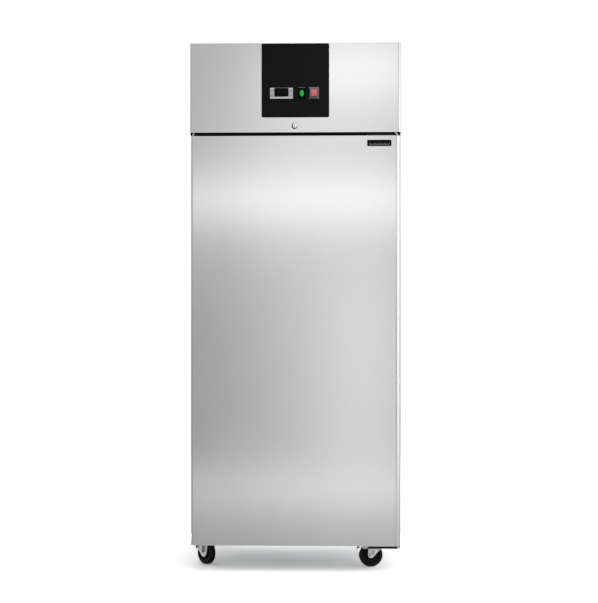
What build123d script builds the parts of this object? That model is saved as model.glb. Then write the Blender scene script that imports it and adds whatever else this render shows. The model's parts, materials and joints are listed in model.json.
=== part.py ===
from build123d import *
import os
from math import cos, radians, sin

# An upright, top-mounted, one-door stainless refrigerator on four swivel castors.
# All lengths are millimetres. X runs to the right seen from the front, Y to the back, Z up.
# The origin lies on the floor, under the middle of the refrigerator's outer box.

# Overall
overall_width = 780.0
overall_depth = 800.0
overall_height = 1955.0
control_relief = 10.0  # how far the power rocker stands in front of the fascia
castor_height = 118.0  # floor to the underside of the cabinet
sheet = 1.0  # thickness of the stainless sheets
wall_thickness = 60.0  # insulated wall, from outer skin to cavity
fit_gap = 0.3  # clearance round a body that sits loosely in its cut-out
seat_gap = 0.3  # clearance between faces that slide past each other
slide_gap = 0.15  # clearance round a sliding pin
cut_past = 1.0  # how far a cutter runs past the face that it opens

# Cabinet
side_return = 15.0  # folded edges of the side panels
front_rail_height = 70.0
deck_rise = 10.0  # machine deck above the door's top edge
base_lip = 8.0
groove_places = (-220.0, 0.0, 220.0)  # pressed grooves in the back panel
groove_width = 24.0
groove_end = 120.0
grille_top_gap = 25.0
grille_rows = 6
grille_slot_width = 180.0
grille_slot_height = 11.0
grille_pitch = 36.0
grille_first_row = 75.0  # deck to the lowest row of slots

# Door
door_thickness = 60.0
door_side_gap = 3.0  # the door is this much narrower than the cabinet on each side
door_head_gap = 13.0  # door top to fascia
door_drop = 21.0  # the door hangs this far below the cabinet's underside
door_left_radius = 8.0  # front edge bend on the opening side
door_right_radius = 17.0  # front edge bend on the hinge side
gasket_depth = 10.0
gasket_width = 20.0
gasket_inset = 16.0  # gasket's inner edge to the cavity opening
gasket_foot = 3.0
gasket_waist = 4.0  # how far the bellows draws in
gasket_seal_gap = 0.2  # gasket to the cabinet's front frame
door_plug_rise = 18.0  # raised middle of the door's inner panel
door_plug_gap = 12.0  # raised middle to the cavity walls

# Finger channel along the opening edge of the door
grip_width = 24.0
grip_depth = 20.0
grip_wall = 2.0
grip_setback = 28.0  # door front to the channel

# Hinges
pin_radius = 6.0
pin_clearance = 0.05
pin_reach = 25.0  # how far each pin enters the door
hinge_side_inset = 17.0  # door's right edge to the pin
hinge_plate = 5.0
hinge_plate_width = 120.0
hinge_plate_setback = 6.0  # door front to the plate's front edge
hinge_plate_inset = 2.0  # plate's outer edge to the cabinet's side
hinge_plate_corner = 14.0
hinge_leg = 40.0  # how far the plate turns up against the cabinet
hinge_door_gap = 1.5  # plate to door
bush_radius = 9.0
bush_floor = 2.0

# Fascia over the machine compartment
fascia_height = 330.0
fascia_left_radius = 6.0
fascia_right_radius = 12.0
fascia_lip = 12.0

# Control plate and what it carries
plate_width = 250.0
plate_height = 273.0
plate_thickness = 1.5
plate_corner = 6.0
plate_top_inset = 2.0
control_row_below_plate = 184.0  # plate's top edge to the middle of the controls

controller_x = -51.0
controller_width = 84.0
controller_height = 40.0
controller_bezel = 3.5
controller_body_width = 71.0
controller_body_height = 29.0
controller_body_depth = 55.0
display_width = 54.0
display_height = 31.0
display_thickness = 1.5
display_sink = 0.3
display_lift = 2.5
key_width = 9.0
key_height = 11.0
key_rise = 0.8
key_travel = 0.8
key_pitch = 16.0
key_well = 2.5
key_dish = 0.35

lamp_x = 24.0
lamp_width = 26.0
lamp_height = 41.0
lamp_rim = 4.0  # the body behind the plate is this much smaller than its frame
lamp_bezel_depth = 3.0
lamp_body_depth = 25.0
lens_width = 18.0
lens_height = 25.0
lens_depth = 4.0
lens_corner = 5.0

rocker_x = 69.0
rocker_bezel_width = 37.0
rocker_bezel_height = 43.0
rocker_bezel_depth = 4.5
rocker_rim = 5.0
rocker_slope = 3.6  # bevel of the frame's four sides
rocker_body_depth = 28.0
rocker_well = 8.0
rocker_width = 20.0
rocker_height = 28.0
rocker_tilt = 10.0  # the rocker leans this far each side of its middle
rocker_pivot_depth = 3.0  # plate's face to the pivot behind it
rocker_back = 2.0
rocker_end_gap = 1.7
rocker_taper = 1.5

lock_x = -3.0
lock_above_edge = 23.0  # fascia's lower edge to the lock
lock_radius = 10.5
lock_relief = 4.0
lock_sleeve = 14.0  # square body behind the collar
lock_plug_radius = 5.5
lock_body_length = 14.0
lock_cam_length = 46.0
lock_cam_width = 14.0
lock_cam_thickness = 3.0
keyway_width = 1.8
keyway_height = 7.6
keyway_depth = 6.0
pocket_room = 4.0  # free space round the cam in the door's pocket

# Door switch in the front frame over the cavity
switch_x = 150.0
switch_below_top = 7.0  # door's top edge to the plunger
switch_width = 24.0
switch_height = 14.0
switch_flange = 2.0
switch_body_depth = 30.0
switch_rim = 2.0
plunger_width = 12.0
plunger_height = 7.0
plunger_length = 22.0

# Cavity fittings
liner_corner = 18.0
breaker_width = 16.0
breaker_thickness = 2.5
pilaster_width = 25.0
pilaster_depth = 9.0
pilaster_height = 1130.0
pilaster_foot = 25.0  # cavity floor to the pilaster's lower end
pilaster_inset_front = 90.0
pilaster_inset_back = 80.0
slot_pitch = 141.0
slot_size = 9.0
shelf_count = 3
first_shelf_slot = 1
shelf_slot_step = 2
shelf_frame_wire = 4.0  # radius of the front and back bars
shelf_bar_width = 5.0
shelf_bar_height = 5.0
shelf_bar_count = 15
shelf_side_gap = 14.0
shelf_setback = 30.0
shelf_back_gap = 50.0  # shelf to the cavity's back wall
clip_thickness = 2.5
clip_hook = 4.0
clip_drop = 6.0
clip_reach = 12.0
lamp_bar_setback = 45.0
lamp_bar_length = 300.0
lamp_bar_width = 28.0
lamp_bar_depth = 14.0

# Evaporator unit under the cavity ceiling
evap_width = 500.0
evap_depth = 300.0
evap_height = 175.0
evap_back_gap = 20.0
evap_sheet = 1.2
evap_chamfer = 22.0
evap_sill = 25.0
evap_fan_radius = 66.0
evap_fan_hub = 20.0
evap_fan_depth = 20.0
evap_fan_inset = 2.0  # cover's front to the fan
evap_motor_radius = 24.0
evap_motor_length = 40.0
evap_coil_width = 400.0
evap_coil_depth = 90.0
evap_coil_height = 148.0
evap_coil_gap = 30.0  # coil to the cover's open back
evap_tube_count = 4
evap_fold_count = 14

# Parts shared by both coils and both fans
flat_tube = 3.0
header_radius = 9.0
header_end = 10.0
fin_thickness = 2.3
fan_gap = 3.0
blade_count = 5
blade_span = 24.0  # half the angle that one blade covers
blade_pitch = 24.0
blade_thickness = 1.6
shaft_radius = 4.0
hub_front = 4.0  # closed front of a fan's hub
motor_gap = 4.0  # fan to motor
motor_bar = 12.0
motor_bar_thickness = 2.0

# Drain from the evaporator
drain_x = 0.0
drain_radius = 8.0
drain_bore = 6.5
drain_bend = 18.0
drain_start = 8.0  # how far the tube reaches into the cover
drain_drop = 12.0  # tube end below the cabinet's underside

# Condensing unit on the deck
unit_base_width = 640.0
unit_base_rise = 16.0
unit_base_setback = 30.0
unit_base_back_gap = 150.0  # tray to the cabinet's back face
unit_sheet = 2.0
unit_edge = 8.0
rail_inset = 40.0
rail_width = 30.0
condenser_x = -115.0
condenser_width = 350.0
condenser_height = 225.0
condenser_depth = 24.0
condenser_setback = 110.0
condenser_tube_count = 6
condenser_fold_count = 14
shroud_sheet = 1.5
shroud_depth = 60.0
cheek_height = 80.0
condenser_fan_radius = 98.0
condenser_fan_hub = 30.0
condenser_fan_depth = 26.0
condenser_fan_inset = 8.0  # fan's front edge inside the shroud's back sheet
condenser_motor_radius = 42.0
condenser_motor_length = 62.0
compressor_x = 150.0
compressor_setback = 130.0  # tray's back edge to the compressor's middle
compressor_radius = 78.0
compressor_height = 190.0
compressor_foot = 18.0
compressor_foot_size = 22.0
compressor_shoulder = 30.0
compressor_foot_inset = 16.0
compressor_plate = 3.0
compressor_plate_reach = 22.0
terminal_width = 64.0
terminal_height = 74.0
terminal_depth = 44.0
pipe_radius = 4.0
suction_radius = 6.0
pipe_bend = 22.0
control_box_inset = 105.0  # cabinet's side to the middle of the box
control_box_width = 110.0
control_box_depth = 90.0
control_box_height = 110.0
control_box_back_gap = 22.0
control_box_edge = 3.0
gland_radius = 10.0
gland_nut = 15.0
gland_nut_depth = 8.0

# Castors
wheel_radius = 44.5
wheel_width = 27.0
axle_radius = 5.0
axle_clearance = 0.06
axle_head = 5.0
axle_head_radius = 8.7
castor_trail = 40.0  # kingpin to the axle
fork_sheet = 2.8
fork_side_gap = 1.5
fork_end_radius = 11.0
fork_back = 32.0  # crown's reach from the kingpin, away from the wheel
fork_front = 50.0  # and over it
crown_plate = 2.5
castor_x = 319.0
castor_inset = 80.0  # kingpin to the front or back face of the cabinet
castor_plate_length = 95.0
castor_plate_width = 67.0
castor_plate_thickness = 3.0
kingpin_radius = 6.0
kingpin_end = 2.0  # riveted end below the crown
race_radius = 24.0
race_height = 10.7
pedal_pivot = 30.0  # kingpin to the pedal's pivot
pedal_pivot_drop = 5.0  # crown to the pivot
pedal_pin_radius = 2.5
pedal_knuckle = 3.6
pedal_width = 22.0
pedal_thickness = 2.5
pedal_length = 63.0
pedal_tip = 8.0
pedal_slope = 18.0  # degrees below level while the brake is on
castor_names = ("front_left", "front_right", "rear_left", "rear_right")
trail_angles = (132.0, 184.0, 128.0, 143.0)  # where each wheel trails, seen from above

# Places worked out from the sizes above
half_width = overall_width / 2
front_y = -overall_depth / 2 + control_relief
back_y = overall_depth / 2
door_back = front_y + door_thickness
cabinet_front = door_back + gasket_depth
base_z = castor_height
fascia_bottom = overall_height - fascia_height
door_top = fascia_bottom - door_head_gap
door_bottom = base_z - door_drop
deck_z = door_top + deck_rise
door_half = half_width - door_side_gap
inside_half = half_width - sheet
cavity_half = half_width - wall_thickness
cavity_floor = base_z + wall_thickness
cavity_ceiling = deck_z - wall_thickness
cavity_back = back_y - wall_thickness
cavity_front = cabinet_front + breaker_thickness
hinge_x = door_half - hinge_side_inset
hinge_y = front_y + door_thickness / 2
plate_top = overall_height - plate_top_inset
plate_front = front_y - plate_thickness
control_z = plate_top - control_row_below_plate
controller_front = plate_front - controller_bezel
lock_z = fascia_bottom + lock_above_edge
cam_y = front_y + lock_body_length + seat_gap
grip_front = front_y + grip_setback
switch_z = door_top - switch_below_top
pilaster_low = cavity_floor + pilaster_foot
pilaster_face = cavity_half - pilaster_depth
shelf_half = cavity_half - shelf_side_gap
shelf_front = cabinet_front + shelf_setback
shelf_back = cavity_back - shelf_back_gap
evap_low = cavity_ceiling - evap_height
evap_back = cavity_back - evap_back_gap
evap_front = evap_back - evap_depth
evap_fan_z = (evap_low + evap_chamfer + cavity_ceiling) / 2
evap_fan_y = evap_front + evap_fan_inset
base_top = deck_z + unit_base_rise
unit_front = cabinet_front + unit_base_setback
unit_back = back_y - unit_base_back_gap
compressor_y = unit_back - compressor_setback
condenser_low = base_top + header_end
condenser_y = cabinet_front + condenser_setback
condenser_fan_z = condenser_low + condenser_height / 2
shroud_back = condenser_y + condenser_depth + shroud_depth
condenser_fan_y = shroud_back - condenser_fan_inset
compressor_low = base_top + compressor_foot
compressor_top = compressor_low + compressor_height
control_box_x = half_width - control_box_inset
control_box_back = back_y - control_box_back_gap
drain_y = cavity_back + wall_thickness / 2
gland_z = deck_z + control_box_height / 2
crown_low = base_z - castor_plate_thickness - race_height - seat_gap - crown_plate
pivot_z = crown_low - pedal_pivot_drop


def block(x_low, x_high, y_low, y_high, z_low, z_high):
    middle = Pos((x_low + x_high) / 2, (y_low + y_high) / 2, (z_low + z_high) / 2)
    return middle * Box(x_high - x_low, y_high - y_low, z_high - z_low)


def rod(radius, start, end):
    """A round bar between two points."""
    line = Vector(*end) - Vector(*start)
    return extrude(Plane(origin=start, z_dir=line) * Circle(radius), amount=line.length)


def pipe(radius, points, bend):
    """A round bar through the points, each corner cut by a short straight piece."""
    spots = [Vector(*point) for point in points]
    stops = [spots[0]]
    for before, corner, after in zip(spots, spots[1:], spots[2:]):
        stops += [corner + (before - corner).normalized() * bend, corner + (after - corner).normalized() * bend]
    path = Polyline(*stops, spots[-1])
    return sweep(Plane(origin=path @ 0, z_dir=path % 0) * Circle(radius), path=path,
                 transition=Transition.RIGHT)


def facing(x, y, z):
    """A sketch plane that faces the front, so that its extrusions run towards the viewer."""
    return Plane(origin=(x, y, z), x_dir=(1, 0, 0), z_dir=(0, -1, 0))


def window(width, height, x, z, y_low, y_high, corner=0.0):
    """A block seen from the front as a rectangle, with rounded corners if asked."""
    face = RectangleRounded(width, height, corner) if corner else Rectangle(width, height)
    return extrude(facing(x, y_high, z) * face, amount=y_high - y_low)


def mirrored(shape):
    return mirror(shape, about=Plane.YZ)


# Cabinet shell

def outer_panels():
    """The two side sheets, with returns round the machine compartment, and the grooved back sheet."""
    wall = block(inside_half, half_width, cabinet_front, back_y, base_z, overall_height)
    edge = half_width - side_return
    rail_top = deck_z + front_rail_height
    right = wall + block(edge, inside_half, back_y - sheet, back_y, deck_z, overall_height)
    right += block(edge, inside_half, cabinet_front, cabinet_front + sheet, rail_top, overall_height)
    right += block(edge, inside_half, cabinet_front + sheet, back_y - sheet,
                   overall_height - sheet, overall_height)
    back = block(-inside_half, inside_half, back_y - sheet, back_y, base_z, deck_z)
    for x in groove_places:
        back -= block(x - groove_width / 2, x + groove_width / 2, back_y - sheet / 2, back_y,
                      base_z + groove_end, deck_z - groove_end)
    return Compound(children=[mirrored(right), right, back])


def machine_deck():
    """The insulated body's top sheet, with the rail that the fascia stands on."""
    plate = block(-inside_half, inside_half, cabinet_front, back_y - sheet, deck_z - sheet, deck_z)
    rail = block(-inside_half, inside_half, cabinet_front, cabinet_front + sheet,
                 deck_z, deck_z + front_rail_height)
    return plate + rail


def base_pan():
    """The bottom sheet with its down-turned edges."""
    tray = block(-inside_half, inside_half, cabinet_front, back_y - sheet, base_z - base_lip, base_z + sheet)
    tray -= block(-inside_half + sheet, inside_half - sheet, cabinet_front + sheet, back_y - 2 * sheet,
                  base_z - base_lip, base_z)
    return tray - drain_run(drain_radius)


def cavity_window(margin, y_low, y_high):
    """The cavity opening grown by a margin, as a cutter between two depths."""
    width = 2 * (cavity_half + margin)
    height = cavity_ceiling - cavity_floor + 2 * margin
    middle = (cavity_floor + cavity_ceiling) / 2
    return window(width, height, 0, middle, y_low, y_high, liner_corner + margin)


def switch_pocket():
    """The space that the door switch's body fills behind the front frame."""
    return window(switch_width - 2 * switch_rim, switch_height - 2 * switch_rim, switch_x, switch_z,
                  cabinet_front, cabinet_front + switch_body_depth)


def front_frame():
    """The stainless ring that the door gasket closes on."""
    ring = block(-inside_half, inside_half, cabinet_front, cabinet_front + sheet,
                 base_z + sheet, deck_z - sheet)
    ring -= cavity_window(breaker_width, cabinet_front - cut_past, cabinet_front + sheet + cut_past)
    return ring - switch_pocket()


def breaker_strip():
    """The plastic ring between the front frame and the liner."""
    ring = cavity_window(breaker_width, cabinet_front, cavity_front)
    return ring - cavity_window(0, cabinet_front - cut_past, cavity_front + cut_past)


def inner_liner():
    tub = cavity_window(sheet, cavity_front, cavity_back + sheet)
    return tub - cavity_window(0, cavity_front - cut_past, cavity_back) - drain_run(drain_radius)


def cabinet_foam():
    """The insulation between the outer sheets and the liner."""
    body = block(-inside_half, inside_half, cabinet_front + sheet, back_y - sheet,
                 base_z + sheet, deck_z - sheet)
    body -= cavity_window(breaker_width, cabinet_front, cavity_front)
    body -= cavity_window(sheet, cavity_front, cavity_back + sheet)
    chase = block(drain_x - drain_radius, drain_x + drain_radius, cavity_back, drain_y + drain_radius,
                  base_z, evap_low + evap_sheet + 2 * drain_radius)
    chase -= block(drain_x - drain_radius, drain_x + drain_radius, cavity_back, drain_y - drain_radius,
                   base_z, evap_low + evap_sheet - drain_bend)
    return body - switch_pocket() - chase


def rear_grille():
    """The compartment's slotted back cover."""
    edge = half_width - side_return
    panel = block(-edge, edge, back_y - sheet, back_y, deck_z, overall_height - grille_top_gap)
    for row in range(grille_rows):
        z = deck_z + grille_first_row + grille_pitch * row
        for x in groove_places:
            panel -= window(grille_slot_width, grille_slot_height, x, z,
                            back_y - sheet - cut_past, back_y + cut_past)
    return panel - rod(gland_radius, (control_box_x, back_y - 2 * sheet, gland_z),
                       (control_box_x, back_y + sheet, gland_z))


# Door

def door_outline(inset, y_low, y_high):
    """The door's block with its two bent front edges, taken in by an inset."""
    body = block(-door_half + inset, door_half - inset, y_low, y_high, door_bottom + inset, door_top - inset)
    upright = body.edges().filter_by(Axis.Z).group_by(Axis.Y)[0].sort_by(Axis.X)
    body = fillet(upright[0], door_left_radius - inset)
    right = body.edges().filter_by(Axis.Z).group_by(Axis.Y)[0].sort_by(Axis.X)[-1]
    return fillet(right, door_right_radius - inset)


def grip_cutter(wall):
    """The finger channel's space, grown by the thickness of its wall."""
    return block(-door_half - cut_past, -door_half + grip_depth + wall, grip_front - wall,
                 grip_front + grip_width + wall, door_bottom - cut_past, door_top + cut_past)


def pin_holes():
    depth, radius = pin_reach + bush_floor, bush_radius
    low = rod(radius, (hinge_x, hinge_y, door_bottom - cut_past), (hinge_x, hinge_y, door_bottom + depth))
    return low + rod(radius, (hinge_x, hinge_y, door_top + cut_past), (hinge_x, hinge_y, door_top - depth))


def keeper_slot(wall):
    """The pocket in the door's top edge that the lock's cam turns down into."""
    reach = lock_cam_length + pocket_room - (lock_z - door_top)
    side = lock_cam_width / 2 + pocket_room
    return block(lock_x - lock_cam_length - wall, lock_x + side + wall, cam_y - pocket_room - wall,
                 cam_y + lock_cam_thickness + pocket_room + wall, door_top - reach - wall, door_top)


def door_skin():
    """The folded outer sheet: front, both side returns, top with the lock's pocket, and bottom."""
    pan = door_outline(0, front_y, door_back) - door_outline(sheet, front_y + sheet, door_back + cut_past)
    pan += keeper_slot(sheet)
    return pan - grip_cutter(0) - pin_holes() - keeper_slot(0)


def door_grip():
    """The channel profile that lines the finger recess, as tall as the door is inside its skin."""
    outer = block(-door_half, -door_half + grip_depth + grip_wall, grip_front - grip_wall,
                  grip_front + grip_width + grip_wall, door_bottom + sheet, door_top - sheet)
    skin = block(-door_half, -door_half + sheet, front_y, grip_front, door_bottom, door_top)
    skin += block(-door_half, -door_half + sheet, grip_front + grip_width, door_back, door_bottom, door_top)
    hollow = block(-door_half - cut_past, -door_half + grip_depth, grip_front, grip_front + grip_width,
                   door_bottom, door_top)
    return outer - hollow - skin


def door_foam():
    body = door_outline(sheet, front_y + sheet, door_back - sheet) + door_plug(sheet)
    return body - grip_cutter(grip_wall) - pin_holes() - keeper_slot(sheet)


def door_plug(inset):
    """The raised middle of the door's inner side, with sloping edges, taken in by an inset."""
    half = cavity_half - door_plug_gap - inset
    low, high = cavity_floor + door_plug_gap + inset, cavity_ceiling - door_plug_gap - inset
    plug = block(-half, half, door_back - sheet, door_back + door_plug_rise - inset, low, high)
    return chamfer(plug.faces().sort_by(Axis.Y)[-1].edges(), door_plug_rise / 2)


def door_inner_panel():
    flat = block(-door_half + sheet, door_half - sheet, door_back - sheet, door_back,
                 door_bottom + sheet, door_top - sheet)
    return flat + door_plug(0) - door_plug(sheet)


def door_gasket():
    """A hollow magnetic seal: a bellows ring that lies on the front frame."""
    inner_x = cavity_half + gasket_inset
    inner_low, inner_high = cavity_floor - gasket_inset, cavity_ceiling + gasket_inset
    height = inner_high - inner_low
    middle = (inner_low + inner_high) / 2
    front, back = door_back, cabinet_front - gasket_seal_gap

    def ring(grow_in, grow_out, y_low, y_high):
        whole = window(2 * (inner_x + grow_out), height + 2 * grow_out, 0, middle, y_low, y_high)
        return whole - window(2 * (inner_x + grow_in), height + 2 * grow_in, 0, middle,
                              y_low - cut_past, y_high + cut_past)

    foot_back = front + gasket_foot
    neck_back = (foot_back + back) / 2
    neck = ring(gasket_waist, gasket_width - gasket_waist, foot_back, neck_back)
    return ring(0, gasket_width, front, foot_back) + neck + ring(1, gasket_width - 1, neck_back, back)


def hinge_bushes():
    """Blind bushes in the door's bottom and top edges, which the hinge pins run in."""
    def bush(z, up):
        lip = up * (hinge_door_gap - seat_gap)
        body = rod(bush_radius, (hinge_x, hinge_y, z - lip),
                   (hinge_x, hinge_y, z + up * (pin_reach + bush_floor)))
        return body - rod(pin_radius + pin_clearance, (hinge_x, hinge_y, z - 2 * lip),
                          (hinge_x, hinge_y, z + up * (pin_reach + seat_gap)))
    return Compound(children=[bush(door_bottom, 1), bush(door_top, -1)])


def hinge_brackets():
    """The angle plates bolted to the cabinet under and over the door, each with its pin."""
    def bracket(door_edge, up):
        near = door_edge - up * hinge_door_gap
        low, high = sorted((near, near - up * hinge_plate))
        right = half_width - hinge_plate_inset
        left = right - hinge_plate_width
        plate = block(left, right, front_y + hinge_plate_setback, cabinet_front, low, high)
        corner = plate.edges().filter_by(Axis.Z).group_by(Axis.Y)[0].sort_by(Axis.X)[-1]
        plate = fillet(corner, hinge_plate_corner)
        leg_right = right if up > 0 else half_width - side_return - 2 * hinge_plate_inset
        leg = block(left, leg_right, cabinet_front - hinge_plate, cabinet_front, low, high + hinge_leg)
        pin = rod(pin_radius, (hinge_x, hinge_y, near), (hinge_x, hinge_y, door_edge + up * pin_reach))
        return plate + leg + pin
    return Compound(children=[bracket(door_bottom, 1), bracket(door_top, -1)])


# Fascia and controls

def fascia_outline(inset, y_back):
    """The fascia's plan, with its two bent front edges, taken in by an inset."""
    body = block(-half_width + inset, half_width - inset, front_y + inset, y_back,
                 fascia_bottom, overall_height - inset)
    left = body.edges().filter_by(Axis.Z).group_by(Axis.Y)[0].sort_by(Axis.X)[0]
    body = fillet(left, fascia_left_radius - inset)
    right = body.edges().filter_by(Axis.Z).group_by(Axis.Y)[0].sort_by(Axis.X)[-1]
    return fillet(right, fascia_right_radius - inset)


def control_cutouts(gap):
    """The holes for the control bodies, through the plate and the fascia."""
    y_low, y_high = plate_front - cut_past, front_y + 2 * sheet
    holes = window(controller_body_width + 2 * gap, controller_body_height + 2 * gap,
                   controller_x, control_z, y_low, y_high)
    holes += window(lamp_width - lamp_rim + 2 * gap, lamp_height - lamp_rim + 2 * gap,
                    lamp_x, control_z, y_low, y_high)
    return holes + window(rocker_bezel_width - rocker_rim + 2 * gap, rocker_bezel_height - rocker_rim + 2 * gap,
                          rocker_x, control_z, y_low, y_high)


def fascia_shell():
    """The sheet box over the machine compartment: front, side returns, top, and a lip underneath."""
    back = cabinet_front
    shell = fascia_outline(0, back)
    hollow = fascia_outline(sheet, back + cut_past)
    hollow = hollow & block(-half_width, half_width, front_y, back + cut_past,
                            fascia_bottom + sheet, overall_height)
    mouth = block(-half_width + fascia_lip, half_width - fascia_lip, front_y + fascia_lip, back + cut_past,
                  fascia_bottom - cut_past, fascia_bottom + 2 * sheet)
    shell -= hollow + mouth
    flange_z = deck_z + front_rail_height
    flange = block(half_width - side_return, inside_half, back - sheet, back, flange_z, overall_height - sheet)
    shell += flange + mirrored(flange)
    shell -= window(lock_sleeve + 2 * fit_gap, lock_sleeve + 2 * fit_gap, lock_x, lock_z,
                    front_y - cut_past, front_y + 2 * sheet)
    return shell - control_cutouts(fit_gap)


def control_plate():
    plate = window(plate_width, plate_height, 0, plate_top - plate_height / 2,
                   plate_front, front_y, plate_corner)
    return plate - control_cutouts(fit_gap)


def key_places():
    """Where the controller's four keys sit: two at each side of its display."""
    side = (controller_width + display_width) / 4
    return [(controller_x + dx, control_z + dz) for dx in (-side, side)
            for dz in (key_pitch / 2, -key_pitch / 2)]


def controller_case():
    """The thermostat's housing: a bezel on the plate and a body behind it."""
    case = window(controller_width, controller_height, controller_x, control_z,
                  controller_front, plate_front)
    case += window(controller_body_width, controller_body_height, controller_x, control_z,
                   plate_front, plate_front + controller_body_depth)
    case -= window(display_width, display_height, controller_x, control_z + display_lift,
                   controller_front - cut_past, controller_front + display_thickness)
    for x, z in key_places():
        case -= window(key_width + 2 * fit_gap, key_height + 2 * fit_gap, x, z,
                       controller_front - cut_past, controller_front + key_well)
    return case


def controller_display():
    return window(display_width, display_height, controller_x, control_z + display_lift,
                  controller_front + display_sink, controller_front + display_thickness)


def controller_key(x, z):
    """A small key with a dished face."""
    front = controller_front - key_rise
    key = window(key_width, key_height, x, z, front, controller_front + key_well - key_travel - fit_gap)
    middle = front - key_width + key_dish
    return key - rod(key_width, (x - key_width, middle, z), (x + key_width, middle, z))


def lens_shape(depth):
    lens = window(lens_width, lens_height, lamp_x, control_z, plate_front - depth, plate_front)
    return chamfer(lens.edges().filter_by(Axis.Y), lens_corner)


def lamp_bezel():
    """The indicator's black frame, with its body through the plate."""
    front = plate_front - lamp_bezel_depth
    bezel = window(lamp_width, lamp_height, lamp_x, control_z, front, plate_front)
    bezel = chamfer(bezel.faces().sort_by(Axis.Y)[0].edges(), lamp_bezel_depth / 3)
    bezel += window(lamp_width - lamp_rim, lamp_height - lamp_rim, lamp_x, control_z,
                    plate_front, plate_front + lamp_body_depth)
    return bezel - lens_shape(lamp_bezel_depth)


def lamp_lens():
    """The lens, an upright oval with eight sides."""
    return lens_shape(lens_depth)


def switch_bezel():
    """The power switch's frame, four sides sloping in to the rocker, with its body behind."""
    frame = window(rocker_bezel_width, rocker_bezel_height, rocker_x, control_z,
                   plate_front - rocker_bezel_depth, plate_front)
    frame = chamfer(frame.faces().sort_by(Axis.Y)[0].edges(), rocker_slope)
    frame += window(rocker_bezel_width - rocker_rim, rocker_bezel_height - rocker_rim, rocker_x, control_z,
                    plate_front, plate_front + rocker_body_depth)
    return frame - window(rocker_width + 2 * fit_gap, rocker_height + 2 * fit_gap, rocker_x, control_z,
                          plate_front - rocker_bezel_depth, plate_front + rocker_well)


def switch_rocker():
    """The rocker, a shallow V in side view, tilted so that its lower half stands out at rest."""
    half = rocker_height / 2 - rocker_end_gap
    tilt = radians(rocker_tilt)
    reach = control_relief - plate_thickness + rocker_pivot_depth  # pivot to the foremost edge
    end = (reach - half * sin(tilt)) / cos(tilt)
    middle = end - half * sin(tilt) / cos(tilt)
    narrow = half - rocker_taper
    profile = make_face(Polyline((-half, end), (0, middle), (half, end), (narrow, -rocker_back),
                                 (-narrow, -rocker_back), (-half, end)))
    side = Plane(origin=(-rocker_width / 2, 0, 0), x_dir=(0, 0, 1), z_dir=(1, 0, 0))
    level = extrude(side * profile, amount=rocker_width)
    return Pos(rocker_x, plate_front + rocker_pivot_depth, control_z) * Rot(-rocker_tilt, 0, 0) * level


def lock_body():
    """The fixed sleeve of the lock, with its collar on the fascia."""
    front, back = front_y - lock_relief, front_y + lock_body_length
    collar = rod(lock_radius, (lock_x, front, lock_z), (lock_x, front_y, lock_z))
    sleeve = window(lock_sleeve, lock_sleeve, lock_x, lock_z, front_y, back)
    bore = rod(lock_plug_radius + pin_clearance, (lock_x, front - cut_past, lock_z),
               (lock_x, back + cut_past, lock_z))
    return collar + sleeve - bore


def lock_barrel():
    """The turning plug with its keyway, and the cam that turns down into the door's pocket."""
    front = front_y - lock_relief + seat_gap
    plug = rod(lock_plug_radius, (lock_x, front, lock_z), (lock_x, cam_y, lock_z))
    keyway = window(keyway_width, keyway_height, lock_x, lock_z, front, front + keyway_depth)
    arm = window(lock_cam_length + lock_cam_width / 2, lock_cam_width,
                 lock_x - (lock_cam_length - lock_cam_width / 2) / 2, lock_z,
                 cam_y, cam_y + lock_cam_thickness)
    return plug - keyway + arm


# Cavity fittings

def pilaster_places():
    return [(side, y) for side in (-1, 1)
            for y in (cabinet_front + pilaster_inset_front, cavity_back - pilaster_inset_back)]


def shelf_pilasters():
    """Slotted upright channels on the cavity's side walls."""
    def pilaster(y):
        half = pilaster_width / 2
        high = pilaster_low + pilaster_height
        channel = block(pilaster_face, cavity_half, y - half, y + half, pilaster_low, high)
        channel -= block(pilaster_face + sheet, cavity_half + cut_past, y - half + sheet, y + half - sheet,
                         pilaster_low - cut_past, high + cut_past)
        for step in range(int(pilaster_height / slot_pitch)):
            z = pilaster_low + slot_pitch * (step + 0.5)
            channel -= block(pilaster_face - cut_past, pilaster_face + 2 * sheet,
                             y - slot_size / 2, y + slot_size / 2, z - slot_size / 2, z + slot_size / 2)
        return channel
    front, back = [pilaster(y) for side, y in pilaster_places() if side > 0]
    return Compound(children=[front, back, mirrored(front), mirrored(back)])


def shelf_height(number):
    """The middle of a shelf's frame bars: each shelf hangs on pilaster slots."""
    slot = pilaster_low + slot_pitch * (first_shelf_slot + shelf_slot_step * number + 0.5)
    return slot - slot_size / 2 + clip_thickness + shelf_frame_wire


def shelf_clips():
    """Bent steel clips hooked into the pilasters, four under each shelf."""
    clips = []
    for number in range(shelf_count):
        top = shelf_height(number) - shelf_frame_wire
        for side, y in pilaster_places():
            half = slot_size / 2 - fit_gap
            inner = shelf_half - clip_reach
            tongue = block(inner, pilaster_face + clip_hook, y - half, y + half, top - clip_thickness, top)
            hook = block(pilaster_face + sheet + fit_gap, pilaster_face + clip_hook, y - half, y + half,
                         top - clip_thickness - clip_drop, top)
            lip = block(inner, inner + clip_thickness, y - half, y + half, top, top + shelf_frame_wire)
            clip = tongue + hook + lip
            clips.append(clip if side > 0 else mirrored(clip))
    return Compound(children=clips)


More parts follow.
